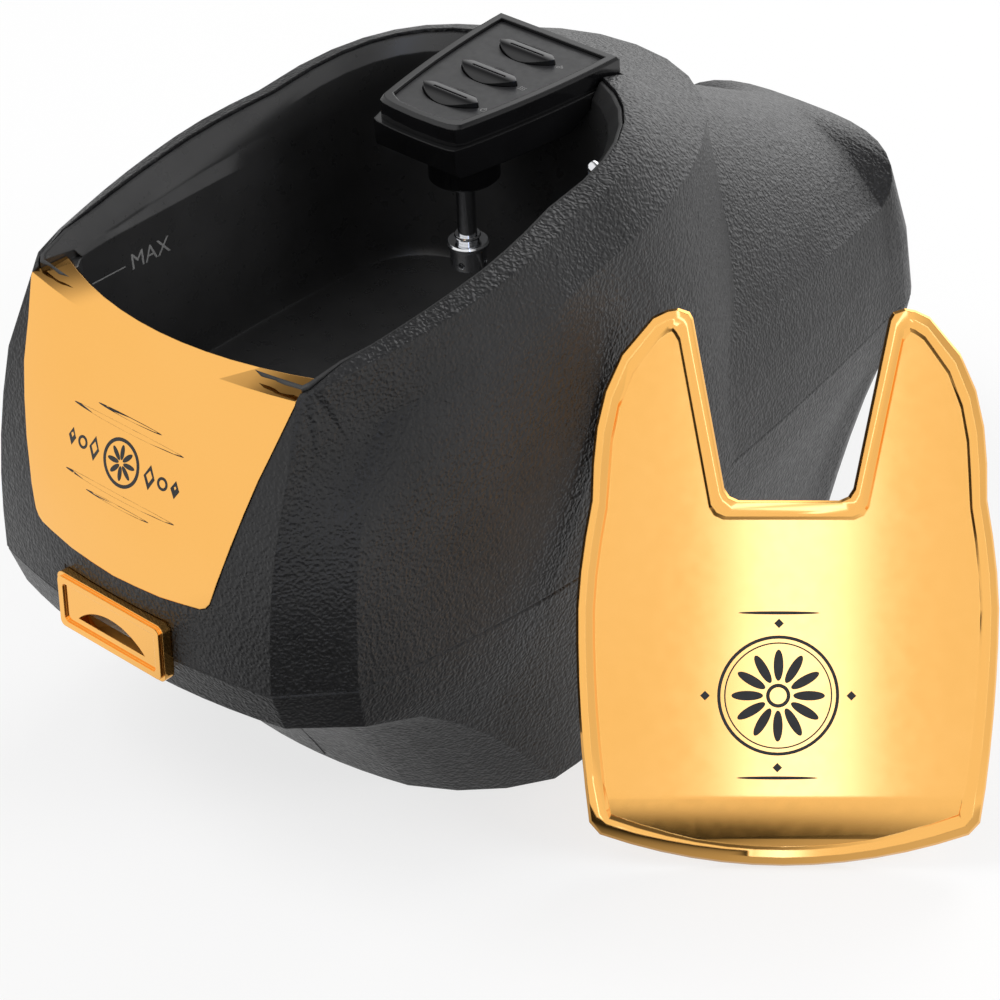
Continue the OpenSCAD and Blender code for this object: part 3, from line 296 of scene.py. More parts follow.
@dataclass(frozen=True)
class GrainedShell:
    """Charcoal moulded plastic with a leather grain.

    Attributes:
        name: Name of the material.
        colour: Deepest colour.
        cell_mm: Size of a pebble of the grain.
        depth_mm: Depth of the grain.
        melt: How far the pebbles melt into each other, up to 1.
        lift: How many times paler the palest patches are.
        patches: Patches of colour in a metre.
        wobbles: Waves in a metre by which the pebbles are pushed out of line.
        sway_mm: How far they are pushed.
        rough: Lowest and highest roughness over the surface.
        sheen: Patches of roughness in a metre.
        gloss: Strength of the reflection.
        edge_mm: Radius by which edges look rounded.
    """

    name: str = "charcoal_grain"
    colour: Colour = (0.0075, 0.0075, 0.008)
    cell_mm: float = 0.95
    depth_mm: float = 0.3
    melt: float = 0.6
    lift: float = 1.9
    patches: float = 38
    wobbles: float = 420
    sway_mm: float = 1.6
    rough: Pair = (0.34, 0.48)
    sheen: float = 700
    gloss: float = 0.42
    edge_mm: float = 0.7

    def make(self) -> bpy.types.Material:
        """Builds the material."""
        sheet = NodeSheet(self.name)
        pale = tuple(c * self.lift for c in self.colour)
        sheet.tint(sheet.noise(self.patches), self.colour, pale)
        warp = sheet.add("ShaderNodeVectorMath", operation="MULTIPLY_ADD")
        wobble = sheet.add("ShaderNodeTexNoise")
        wobble.inputs["Scale"].default_value = self.wobbles
        sheet.link(sheet.place, wobble.inputs["Vector"])
        sheet.link(wobble.outputs["Color"], warp.inputs[0])
        warp.inputs[1].default_value = (self.sway_mm * MM,) * 3
        sheet.link(sheet.place, warp.inputs[2])
        pebbles = sheet.cells(1 / (self.cell_mm * MM), self.melt, warp.outputs["Vector"])
        roughness = sheet.spread(sheet.noise(self.sheen), *self.rough)
        sheet.link(roughness, sheet.shader.inputs["Roughness"])
        sheet.level(Specular_IOR_Level=self.gloss)
        sheet.relief(pebbles, self.depth_mm * MM, self.edge_mm * MM)
        return sheet.material


@dataclass(frozen=True)
class GlossPlastic:
    """Smooth moulded plastic.

    Attributes:
        name: Name of the material.
        colour: Base colour.
        rough: Lowest and highest roughness over the surface.
        edge_mm: Radius by which edges look rounded.
        wave_mm: Depth of the slow waviness of a moulded face.
        lift: How many times paler the palest patches are, besides a least step.
        least: That least step.
        patches: Patches of colour in a metre.
        sheen: Patches of roughness in a metre.
        waves: Waves of the face in a metre.
    """

    name: str
    colour: Colour
    rough: Pair = (0.06, 0.1)
    edge_mm: float = 0.35
    wave_mm: float = 0.012
    lift: float = 1.35
    least: float = 0.001
    patches: float = 60
    sheen: float = 240
    waves: float = 75

    def make(self) -> bpy.types.Material:
        """Builds the material."""
        sheet = NodeSheet(self.name)
        pale = tuple(min(1.0, c * self.lift + self.least) for c in self.colour)
        sheet.tint(sheet.noise(self.patches), self.colour, pale)
        roughness = sheet.spread(sheet.noise(self.sheen), *self.rough)
        sheet.link(roughness, sheet.shader.inputs["Roughness"])
        sheet.relief(sheet.noise(self.waves, 1.0), self.wave_mm * MM, self.edge_mm * MM)
        return sheet.material


@dataclass(frozen=True)
class PlatedMetal:
    """Mirror plating over a moulding.

    Attributes:
        name: Name of the material.
        colour: Colour of the reflection.
        deep: Colour in the thinner patches of the plating.
        rough: Lowest and highest roughness.
        edge_mm: Radius by which edges look rounded.
        wave_mm: Depth of the slow waviness under the plating.
        patches: Patches of colour in a metre.
        sheen: Patches of roughness in a metre.
        waves: Waves of the face in a metre.
    """

    name: str
    colour: Colour
    deep: Colour
    rough: Pair = (0.05, 0.09)
    edge_mm: float = 0.3
    wave_mm: float = 0.01
    patches: float = 22
    sheen: float = 300
    waves: float = 45

    def make(self) -> bpy.types.Material:
        """Builds the material."""
        sheet = NodeSheet(self.name)
        sheet.tint(sheet.noise(self.patches), self.deep, self.colour)
        sheet.level(Metallic=1.0)
        roughness = sheet.spread(sheet.noise(self.sheen), *self.rough)
        sheet.link(roughness, sheet.shader.inputs["Roughness"])
        sheet.relief(sheet.noise(self.waves, 1.0), self.wave_mm * MM, self.edge_mm * MM)
        return sheet.material


@dataclass(frozen=True)
class TurnedSteel:
    """Plain steel with fine tool marks.

    Attributes:
        name: Name of the material.
        colour: Colour of the metal.
        shade: How dark the darkest patches are beside it.
        patches: Patches of colour in a metre.
        marks: Scale of the tool marks.
        stray: How far the marks stray from straight.
        rough: Lowest and highest roughness.
        depth_mm: Depth of the tool marks.
        edge_mm: Radius by which edges look rounded.
    """

    name: str = "turned_steel"
    colour: Colour = (0.45, 0.46, 0.48)
    shade: float = 0.8
    patches: float = 160
    marks: float = 900
    stray: float = 1.5
    rough: Pair = (0.22, 0.34)
    depth_mm: float = 0.004
    edge_mm: float = 0.2

    def make(self) -> bpy.types.Material:
        """Builds the material."""
        sheet = NodeSheet(self.name)
        dark = tuple(c * self.shade for c in self.colour)
        sheet.tint(sheet.noise(self.patches), dark, self.colour)
        sheet.level(Metallic=1.0)
        marks = sheet.add("ShaderNodeTexWave", bands_direction="Z")
        marks.inputs["Scale"].default_value = self.marks
        marks.inputs["Distortion"].default_value = self.stray
        sheet.link(sheet.place, marks.inputs["Vector"])
        roughness = sheet.spread(marks.outputs["Fac"], *self.rough)
        sheet.link(roughness, sheet.shader.inputs["Roughness"])
        sheet.relief(marks.outputs["Fac"], self.depth_mm * MM, self.edge_mm * MM)
        return sheet.material


@dataclass(frozen=True)
class DullMoulding:
    """Rubber, board or matt plastic: a fine even grain.

    Attributes:
        name: Name of the material.
        colour: Base colour.
        rough: Lowest and highest roughness.
        grains: Grains of the surface in a metre.
        depth_mm: Depth of the grain.
        lift: How many times paler the palest patches are, besides a least step.
        least: That least step.
        patches: Patches of colour in a metre.
        sheen: Patches of roughness in a metre.
        edge_mm: Radius by which edges look rounded.
    """

    name: str
    colour: Colour
    rough: Pair = (0.55, 0.75)
    grains: float = 1800
    depth_mm: float = 0.02
    lift: float = 1.25
    least: float = 0.004
    patches: float = 180
    sheen: float = 520
    edge_mm: float = 0.3

    def make(self) -> bpy.types.Material:
        """Builds the material."""
        sheet = NodeSheet(self.name)
        pale = tuple(min(1.0, c * self.lift + self.least) for c in self.colour)
        sheet.tint(sheet.noise(self.patches), self.colour, pale)
        roughness = sheet.spread(sheet.noise(self.sheen), *self.rough)
        sheet.link(roughness, sheet.shader.inputs["Roughness"])
        sheet.relief(sheet.noise(self.grains, 2.0), self.depth_mm * MM, self.edge_mm * MM)
        return sheet.material


class Finish(Enum):
    """The finishes of the machine, each made once."""

    SHELL = GrainedShell()
    TANK = GlossPlastic("tank_black", (0.024, 0.024, 0.0245), (0.26, 0.33), 0.6, 0.006)
    CONSOLE = GlossPlastic("console_black", (0.0045, 0.0045, 0.005), (0.09, 0.15), 0.45)
    KEY = GlossPlastic("key_black", (0.004, 0.004, 0.0045), (0.05, 0.09), 0.3)
    KEY_PLATE = DullMoulding("key_plate_grey", (0.014, 0.014, 0.015), (0.34, 0.44), 2600, 0.006)
    GOLD = PlatedMetal("gold_plate", (1.0, 0.53, 0.145), (0.99, 0.515, 0.132), (0.06, 0.08), 0.3, 0.0012)
    CHROME = PlatedMetal("chrome_plate", (0.82, 0.83, 0.85), (0.76, 0.77, 0.79), (0.04, 0.08), 0.2)
    STEEL = TurnedSteel()
    RUBBER = DullMoulding("foot_rubber", (0.016, 0.016, 0.016), (0.7, 0.85), 2200, 0.03)
    PALE = DullMoulding("pump_natural", (0.62, 0.6, 0.54), (0.42, 0.55), 900, 0.02)
    BOARD = DullMoulding("board_lacquer", (0.01, 0.07, 0.03), (0.3, 0.4), 1400, 0.01)
    THERMO = DullMoulding("thermostat_body", (0.33, 0.24, 0.13), (0.5, 0.6), 1200, 0.02)
    INLET = DullMoulding("inlet_black", (0.006, 0.006, 0.006), (0.4, 0.52), 2400, 0.012)
    INK = DullMoulding("print_black", (0.006, 0.0055, 0.005), (0.35, 0.45), 3000, 0.002)
    MARK = DullMoulding("mark_grey", (0.2, 0.2, 0.2), (0.4, 0.5), 3000, 0.002)

    @property
    def material(self) -> bpy.types.Material:
        """The finish's material, built on first use."""
        found = bpy.data.materials.get(f"finish_{self.value.name}")
        return found or self.value.make()


def dress(item: bpy.types.Object, finish: Finish) -> None:
    """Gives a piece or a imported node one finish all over, slot by slot."""
    if not item.material_slots:
        item.data.materials.append(finish.material)
    for slot in item.material_slots:
        slot.material = finish.material


def seat(item: bpy.types.Object, finish: Finish, body: str,
         stands_for: Iterable[str] = ()) -> bpy.types.Object:
    """Dresses a finished piece and joins it to the body that carries it.

    Args:
        item: The piece, in its place.
        finish: Its finish.
        body: Body that it moves with.
        stands_for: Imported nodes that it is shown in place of.

    Returns:
        The same piece.
    """
    dress(item, finish)
    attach(item, body)
    nodes = tuple(stands_for)
    if nodes:
        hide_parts(*nodes)
    LOG.info("%s on %s, %d faces", item.name, body, len(item.data.polygons))
    return item


def recast(node: str, name: str, finish: Finish, body: str, soft_deg: float,
           melt_deg: float = 0.4, weighted: bool = True) -> bpy.types.Object:
    """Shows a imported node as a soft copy, dressed and joined to its body.

    Args:
        node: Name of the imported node.
        name: Name of the new piece.
        finish: Its finish.
        body: Body that it moves with.
        soft_deg: Edges flatter than this are shaded soft.
        melt_deg: Faces flatter than this to each other become one.
        weighted: Whether large faces keep themselves flat against small ones.

    Returns:
        The new piece.
    """
    return seat(smooth_copy(node, name, soft_deg, melt_deg, weighted), finish, body, [node])


# ---------------------------------------------------------------- flat marks

@dataclass
class FlatMark:
    """A printed or moulded mark drawn flat from primitives, then laid on a surface.

    Attributes:
        name: Name of the mark.
        parts: Its flat parts so far, in millimetres on the XY plane.
    """

    name: str
    parts: list[bpy.types.Object] = field(default_factory=list)

    def disc(self, x: float, y: float, wide: float, high: float, turn: float = 0.0, sides: int = 40,
             hole: float = 0.0) -> None:
        """Adds an ellipse, a diamond or a ring.

        Args:
            x: Middle across.
            y: Middle up.
            wide: Whole width.
            high: Whole height.
            turn: Turn in degrees about the middle.
            sides: Corners of the outline; 4 makes a diamond.
            hole: Width of the band left round a hole, or 0 for none.
        """
        bpy.ops.mesh.primitive_circle_add(vertices=sides, radius=0.5, fill_type="NGON")
        item = active(f"{self.name}_part")
        item.scale = (wide, high, 1)
        item.rotation_euler = (0, 0, math.radians(turn))
        item.location = (x, y, 0)
        bpy.ops.object.transform_apply(location=True, rotation=True, scale=True)
        bpy.ops.object.mode_set(mode="EDIT")
        bpy.ops.mesh.select_all(action="SELECT")
        if hole:
            bpy.ops.mesh.inset(thickness=hole)
            bpy.ops.mesh.delete(type="FACE")
        bpy.ops.object.mode_set(mode="OBJECT")
        self.parts.append(item)

    def petals(self, count: int, reach: float, long: float, wide: float) -> None:
        """Adds a ring of leaves round the middle.

        Args:
            count: How many.
            reach: Distance of a leaf's middle from the ring's.
            long: A leaf's length.
            wide: Its width.
        """
        for step in range(count):
            turn = step * 360 / count
            a = math.radians(turn)
            self.disc(reach * math.cos(a), reach * math.sin(a), long, wide, turn)

    def stroke(self, points: Sequence[tuple[float, float]], width: float) -> None:
        """Adds a line of even width.

        Args:
            points: Corners of the line.
            width: Its width.
        """
        for (x0, y0), (x1, y1) in zip(points, points[1:]):
            long = math.hypot(x1 - x0, y1 - y0) + width * 0.5
            bpy.ops.mesh.primitive_plane_add(size=1)
            item = active(f"{self.name}_part")
            item.scale = (long, width, 1)
            item.rotation_euler = (0, 0, math.atan2(y1 - y0, x1 - x0))
            item.location = ((x0 + x1) / 2, (y0 + y1) / 2, 0)
            bpy.ops.object.transform_apply(location=True, rotation=True, scale=True)
            self.parts.append(item)

    def words(self, text: str, size: float, x: float, y: float) -> None:
        """Adds generic lettering as flat mesh.

        Args:
            text: The letters.
            size: Height of the letters' line.
            x: Middle across.
            y: Middle up.
        """
        bpy.ops.object.text_add()
        item = bpy.context.view_layer.objects.active
        item.data.body = text
        item.data.size = size
        item.data.align_x, item.data.align_y = "CENTER", "CENTER"
        bpy.ops.object.convert(target="MESH")
        item = active(f"{self.name}_part")
        item.location = (x, y, 0)
        bpy.ops.object.transform_apply(location=True, rotation=True, scale=True)
        self.parts.append(item)

    def lay(self, onto: bpy.types.Object, origin: Point, right: Vector, up: Vector,
            lift_mm: float = 0.03, thick_mm: float = 0.04) -> bpy.types.Object:
        """Joins the parts, lays them on a surface and gives them a thin body.

        Args:
            onto: Object whose surface carries the mark.
            origin: Middle of the mark, in metres, just in front of that surface.
            right: Direction of the mark's X.
            up: Direction of the mark's Y.
            lift_mm: Height over the surface.
            thick_mm: Thickness of the print.

        Returns:
            The mark, with its place in its mesh.
        """
        item = joined(self.name, self.parts)
        side = right.normalized()
        rise = (up - side * up.dot(side)).normalized()
        facing = side.cross(rise)
        turn = Matrix((side, rise, facing)).transposed().to_4x4()
        item.matrix_world = Matrix.Translation(Vector(origin)) @ turn @ Matrix.Scale(MM, 4)
        bpy.context.view_layer.update()
        wrap = item.modifiers.new("wrap", "SHRINKWRAP")
        wrap.target = onto
        wrap.wrap_method = "PROJECT"
        wrap.use_project_z = True
        wrap.use_negative_direction = True
        wrap.use_positive_direction = True
        wrap.offset = lift_mm * MM
        settle(item)
        shell = item.modifiers.new("body", "SOLIDIFY")
        shell.thickness = thick_mm * MM
        shell.offset = 1.0
        settle(item)
        return item


# ---------------------------------------------------------------- sub-assemblies

@dataclass
class Housing:
    """The moulded shells, the gold front panel and the outlet plate.

    The print's measures are in millimetres, on the flat.

    Attributes:
        soft_deg: Edges of the shells flatter than this are shaded soft.
        panel_soft_deg: The same for the gold panel.
        panel_melt_deg: Faces of the panel flatter than this to each other become one.
        plate_soft_deg: Edges of the outlet plate flatter than this are shaded soft.
        print_at: Middle of the ornament, in metres.
        print_up: Direction in which the ornament's upper side points.
        rules: Each rule's height over the middle, its length and its width.
        ring: Width of the ring and of its band.
        petals: Number of leaves, their reach, length and width.
        diamonds: Each diamond's distance from the middle, its width and its height.
        bead: The small ring's distance from the middle, its width and its band.
        bead_sides: Corners of the small ring's outline.
    """

    soft_deg: float = 22.0
    panel_soft_deg: float = 12.0
    panel_melt_deg: float = 0.02
    plate_soft_deg: float = 30.0
    print_at: Point = (0.0, -0.139, 0.108)
    print_up: Point = (0.0, 0.25, 1.0)
    rules: tuple[Point, ...] = ((8.6, 38.0, 1.3), (11.2, 22.0, 0.8))
    ring: Pair = (12.4, 0.9)
    petals: tuple[int, float, float, float] = (8, 2.7, 3.8, 1.3)
    diamonds: tuple[Point, ...] = ((9.6, 3.6, 6.4), (17.9, 2.8, 4.6))
    bead: Point = (13.9, 3.4, 0.7)
    bead_sides: int = 24

    def build(self) -> None:
        """Builds and dresses the housing."""
        for node, name in (("upper_shell", "upper_housing"), ("base_shell", "lower_housing")):
            recast(node, name, Finish.SHELL, "machine", self.soft_deg)
        panel = recast("front_panel", "nose_plate", Finish.GOLD, "machine",
                       self.panel_soft_deg, self.panel_melt_deg, False)
        recast("outlet_bezel", "outlet_plate", Finish.GOLD, "machine", self.plate_soft_deg)
        self.ornament(panel)

    def ornament(self, panel: bpy.types.Object) -> None:
        """Prints a plain ornament on the panel: tapered rules and a row of shapes.

        Args:
            panel: The gold panel.
        """
        mark = FlatMark("panel_ornament")
        for side in (-1, 1):
            for height, long, wide in self.rules:
                mark.disc(0, side * height, long, wide)
        width, band = self.ring
        mark.disc(0, 0, width, width, hole=band)
        mark.petals(*self.petals)
        x_bead, width, band = self.bead
        for side in (-1, 1):
            for x, wide, high in self.diamonds:
                mark.disc(side * x, 0, wide, high, sides=4)
            mark.disc(side * x_bead, 0, width, width, hole=band, sides=self.bead_sides)
        item = mark.lay(panel, self.print_at, Vector((1, 0, 0)), Vector(self.print_up))
        seat(item, Finish.INK, "machine")


@dataclass
class Tank:
    """The dark tank with its fill mark and level probe.

    Attributes:
        soft_deg: Edges of the tank flatter than this are shaded soft.
        melt_deg: Faces of the tank flatter than this to each other become one.
        probe_soft_deg: Edges of the probe flatter than this are shaded soft.
        mark_at: Middle of the fill mark, in metres.
        mark_along: Direction of its line.
        line: Start and end of the line, in millimetres from the middle.
        line_width: Width of the line, in millimetres.
        letters: Size and middle of the letters, in millimetres.
        print_mm: Height and thickness of the print.
    """

    soft_deg: float = 22.0
    melt_deg: float = 0.05
    probe_soft_deg: float = 40.0
    mark_at: Point = (-0.036, -0.09, 0.127)
    mark_along: Point = (0.0, 1.0, 0.03)
    line: Pair = (-13.0, -2.0)
    line_width: float = 0.35
    letters: Pair = (6.2, 6.5)
    print_mm: Pair = (0.02, 0.02)

    def build(self) -> None:
        """Builds and dresses the tank."""
        tank = recast("tank", "lather_tank", Finish.TANK, "machine",
                      self.soft_deg, self.melt_deg)
        recast("level_probe", "level_pin", Finish.CHROME, "machine", self.probe_soft_deg)
        mark = FlatMark("fill_mark")
        start, end = self.line
        mark.stroke([(start, 0), (end, 0)], self.line_width)
        size, middle = self.letters
        mark.words("MAX", size, middle, 0)
        item = mark.lay(tank, self.mark_at, Vector(self.mark_along), Vector((0, 0, 1)), *self.print_mm)
        seat(item, Finish.MARK, "machine")


@dataclass
class Console:
    """The console over the tank with its keys and their signs.

    Sizes are in millimetres, in the console's own frame.

    Attributes:
        tilt_deg: Tilt of the console, front down.
        tip: Front end of the console in the machine's frame.
        first: Place of the first key's middle behind the tip.
        pitch: Distance between two keys.
        key_half: Half the length of a key.
        soft_deg: Edges of the housing flatter than this are shaded soft.
        rim_melt_deg: Faces of the frame flatter than this to each other become one.
        key_soft_deg: Edges of the keys flatter than this are shaded soft.
        sign_gap: Distance of a sign's middle from the key's end.
        sign_over: Height over the tip from which the signs are laid down.
        ring: Width of the power sign's ring and of its band.
        bar: Bottom, top and width of the bar in the power sign.
        waves: Places of the waves of the heat sign.
        wave: Corners of one wave.
        wave_width: Width of a wave's line.
        bubbles: Place and size of the bubbles of the lather sign.
        bubble_band: Width of a bubble's line.
        print_mm: Height and thickness of the print.
    """

    tilt_deg: float = 3.1
    tip: Point = (0.0, -30.9, 161.0)
    first: float = 12.4
    pitch: float = 14.4
    key_half: float = 9.3
    soft_deg: float = 28.0
    rim_melt_deg: float = 0.05
    key_soft_deg: float = 30.0
    sign_gap: float = 1.9
    sign_over: float = 1.0
    ring: Pair = (1.7, 0.25)
    bar: Point = (0.2, 1.2, 0.28)
    waves: Point = (-0.7, 0.0, 0.7)
    wave: tuple[Pair, ...] = ((-0.12, -0.8), (0.12, -0.2), (-0.12, 0.3), (0.12, 0.8))
    wave_width: float = 0.22
    bubbles: tuple[Point, ...] = ((-0.4, -0.3, 1.0), (0.55, 0.0, 0.7), (0.0, 0.65, 0.6))
    bubble_band: float = 0.2
    print_mm: Pair = (0.02, 0.02)

    def at(self, x: float, y: float, z: float) -> Vector:
        """A point of the console's own frame, in metres of the machine's frame."""
        turn = Matrix.Rotation(math.radians(self.tilt_deg), 4, "X")
        return (Vector(self.tip) + turn @ Vector((x, y, z))) * MM

    def build(self) -> None:
        """Builds and dresses the console."""
        recast("console_housing", "console_body", Finish.CONSOLE, "machine", self.soft_deg)
        recast("console_frame", "console_rim", Finish.CONSOLE, "machine",
               self.soft_deg, self.rim_melt_deg)
        plate = recast("button_plate", "key_bed", Finish.KEY_PLATE, "machine", self.soft_deg)
        for kind in ("power", "heat", "lather"):
            recast(f"button_{kind}", f"key_{kind}_cap", Finish.KEY, f"key_{kind}",
                   self.key_soft_deg)
        self.signs(plate)

    def signs(self, plate: bpy.types.Object) -> None:
        """Prints a small sign beside each key: a power sign, heat waves and bubbles.

        Args:
            plate: The key plate.
        """
        mark = FlatMark("key_signs")
        x = self.key_half + self.sign_gap
        for step, draw in enumerate((self.power_sign, self.heat_sign, self.lather_sign)):
            draw(mark, x, self.first + step * self.pitch)
        turn = Matrix.Rotation(math.radians(self.tilt_deg), 3, "X")
        item = mark.lay(plate, tuple(self.at(0, 0, self.sign_over)), Vector((1, 0, 0)),
                        turn @ Vector((0, 1, 0)), *self.print_mm)
        seat(item, Finish.MARK, "machine")

    def power_sign(self, mark: FlatMark, x: float, y: float) -> None:
        """Draws a ring with a bar at this place."""
        width, band = self.ring
        mark.disc(x, y, width, width, hole=band, sides=24)
        bottom, top, wide = self.bar
        mark.stroke([(x, y + bottom), (x, y + top)], wide)

    def heat_sign(self, mark: FlatMark, x: float, y: float) -> None:
        """Draws rising waves at this place."""
        for step in self.waves:
            mark.stroke([(x + step + dx, y + dy) for dx, dy in self.wave], self.wave_width)

    def lather_sign(self, mark: FlatMark, x: float, y: float) -> None:
        """Draws bubbles at this place."""
        for dx, dy, size in self.bubbles:
            mark.disc(x + dx, y + dy, size, size, hole=self.bubble_band, sides=20)


@dataclass
class Mixer:
    """The collar, shaft and bell that stir the tank.

    Attributes:
        soft_deg: Edges flatter than this are shaded soft.
    """

    soft_deg: float = 35.0

    def build(self) -> None:
        """Builds and dresses the mixer."""
        recast("motor_collar", "mixer_collar", Finish.CONSOLE, "machine", self.soft_deg)
        recast("mixer_shaft", "mixer_rod", Finish.CHROME, "mixer", self.soft_deg)
        recast("mixer_bell", "mixer_cup", Finish.CHROME, "mixer", self.soft_deg)


@dataclass
class Lid:
    """The loose gold lid that stands beside the machine.

    The print's measures are in millimetres, on the flat.

    Attributes:
        middle: Middle of the medallion, in metres.
        lean_deg: Lean of the lid from upright.
        turn_deg: Turn of the lid about the upright.
        soft_deg: Edges flatter than this are shaded soft.
        melt_deg: Faces flatter than this to each other become one.
        rings: Width of each ring and of its band.
        ring_sides: Corners of a ring's outline.
        petals: Number of leaves, their reach, length and width.
        eye: Width of the ring in the middle and of its band.
        eye_sides: Corners of its outline.
        rule: Height of a rule over the middle, its length and its width.
        stud: Distance of the small diamonds from the middle, and their width.
    """

    middle: Point = (0.1230, -0.0340, 0.0440)
    lean_deg: float = 26.0
    turn_deg: float = 42.0
    soft_deg: float = 24.0
    melt_deg: float = 0.05
    rings: tuple[Pair, ...] = ((30.0, 0.8), (26.6, 0.35))
    ring_sides: int = 64
    petals: tuple[int, float, float, float] = (12, 7.6, 7.8, 2.4)
    eye: Pair = (6.0, 0.9)
    eye_sides: int = 32
    rule: Point = (20.6, 20.0, 0.8)
    stud: Pair = (18.0, 2.4)

    def build(self) -> None:
        """Builds and dresses the lid."""
        lid = recast("lid", "lid_plate", Finish.GOLD, "lid",
                     self.soft_deg, self.melt_deg, False)
        self.medallion(lid)

    def medallion(self, lid: bpy.types.Object) -> None:
        """Prints a rosette in a double ring between two small rules.

        Args:
            lid: The lid.
        """
        mark = FlatMark("lid_medallion")
        for width, band in self.rings:
            mark.disc(0, 0, width, width, hole=band, sides=self.ring_sides)
        mark.petals(*self.petals)
        width, band = self.eye
        mark.disc(0, 0, width, width, hole=band, sides=self.eye_sides)
        height, long, wide = self.rule
        away, size = self.stud
        for side in (-1, 1):
            mark.disc(0, side * height, long, wide)
            mark.disc(0, side * away, size, size, sides=4)
            mark.disc(side * away, 0, size, size, sides=4)
        flat = Matrix.Rotation(math.radians(self.turn_deg), 3, "Z")
        lean = Matrix.Rotation(math.radians(90 - self.lean_deg), 3, "X")
        right = flat @ Vector((1, 0, 0))
        up = flat @ lean @ Vector((0, 1, 0))
        item = mark.lay(lid, self.middle, right, up)
        seat(item, Finish.INK, "lid")


@dataclass
class Inside:
    """Everything inside the housing and under it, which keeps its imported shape."""

    dressed: dict[str, Finish] = field(default_factory=lambda: {
        "foot_pads": Finish.RUBBER, "tank_gasket": Finish.RUBBER, "shaft_seal": Finish.RUBBER,
        "shell_screws": Finish.STEEL, "console_screws": Finish.STEEL, "pump_screws": Finish.STEEL,
        "board_screws": Finish.STEEL, "heater_plate": Finish.STEEL, "mixer_motor": Finish.STEEL,
        "pump_drive_gear": Finish.STEEL, "pump_idler_gear": Finish.STEEL, "pump_motor": Finish.STEEL,
        "inlet_pins": Finish.STEEL, "outlet_duct": Finish.PALE, "pump_housing": Finish.PALE,
        "pump_cover": Finish.PALE, "switch_board": Finish.BOARD, "power_board": Finish.BOARD,
        "thermostat": Finish.THERMO, "power_inlet": Finish.INLET})

    def build(self) -> None:
        """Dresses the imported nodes."""
        for node, finish in self.dressed.items():
            dress(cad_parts[node], finish)
        LOG.info("%d packed nodes keep their shape", len(self.dressed))


# ---------------------------------------------------------------- studio

@dataclass(frozen=True)
class Glow:
    """A bright or dark side of the sky, as plating shows it.

    Attributes:
        toward: Direction that the looked-at one is compared with.
        span: How far it points that way where the light starts and ends to change.
        level: Brightness before and after that stretch.
    """

    toward: Point
    span: Pair
    level: Pair


class WorldSheet(Sheet):
    """The world's node tree, which lights by the direction that is looked in."""

    def __init__(self, name: str) -> None:
        """Starts a world of this name and gives it to the scene."""
        world = bpy.data.worlds.new(name)
        bpy.context.scene.world = world
        world.use_nodes = True
        super().__init__(world.node_tree)
        self.place = self.add("ShaderNodeTexCoord").outputs["Generated"]

    def along(self, direction: Vector) -> bpy.types.NodeSocket:
        """How far the looked-at direction points along another."""
        node = self.add("ShaderNodeVectorMath", operation="DOT_PRODUCT")
        self.link(self.place, node.inputs[0])
        node.inputs[1].default_value = direction
        return node.outputs["Value"]

    def glow(self, glow: Glow) -> bpy.types.NodeSocket:
        """Brightness of one side of the sky."""
        return self.ease(self.along(Vector(glow.toward)), glow.span, glow.level)

    def mixed(self, start: Value, end: Value, share: Value, kind: str = "FLOAT") -> bpy.types.NodeSocket:
        """Mixes two values or colours.

        Args:
            start: Result at a share of 0.
            end: Result at a share of 1.
            share: How much of the end is taken.
            kind: FLOAT for values, RGBA for colours.

        Returns:
            The mixed value's socket.
        """
        node = self.add("ShaderNodeMix", data_type=kind)
        for key, value in (("A", start), ("B", end), ("Factor", share)):
            self.feed(node.inputs[key], value)
        return node.outputs["Result"]


@dataclass(frozen=True)
class Lamp:
    """A square soft lamp that plating doesn't show.

    Attributes:
        name: Name of the lamp.
        place: Where it hangs.
        aim: What it points at.
        side: Length of its side.
        watts: Its power.
    """

    name: str
    place: Point
    aim: Point
    side: float
    watts: float

    def hang(self) -> None:
        """Adds the lamp to the scene."""
        data = bpy.data.lights.new(self.name, "AREA")
        data.size = self.side
        data.energy = self.watts
        item = bpy.data.objects.new(self.name, data)
        bpy.context.scene.collection.objects.link(item)
        item.visible_glossy = False
        item.location = self.place
        item.rotation_euler = (Vector(self.place) - Vector(self.aim)).to_track_quat("Z", "Y").to_euler()


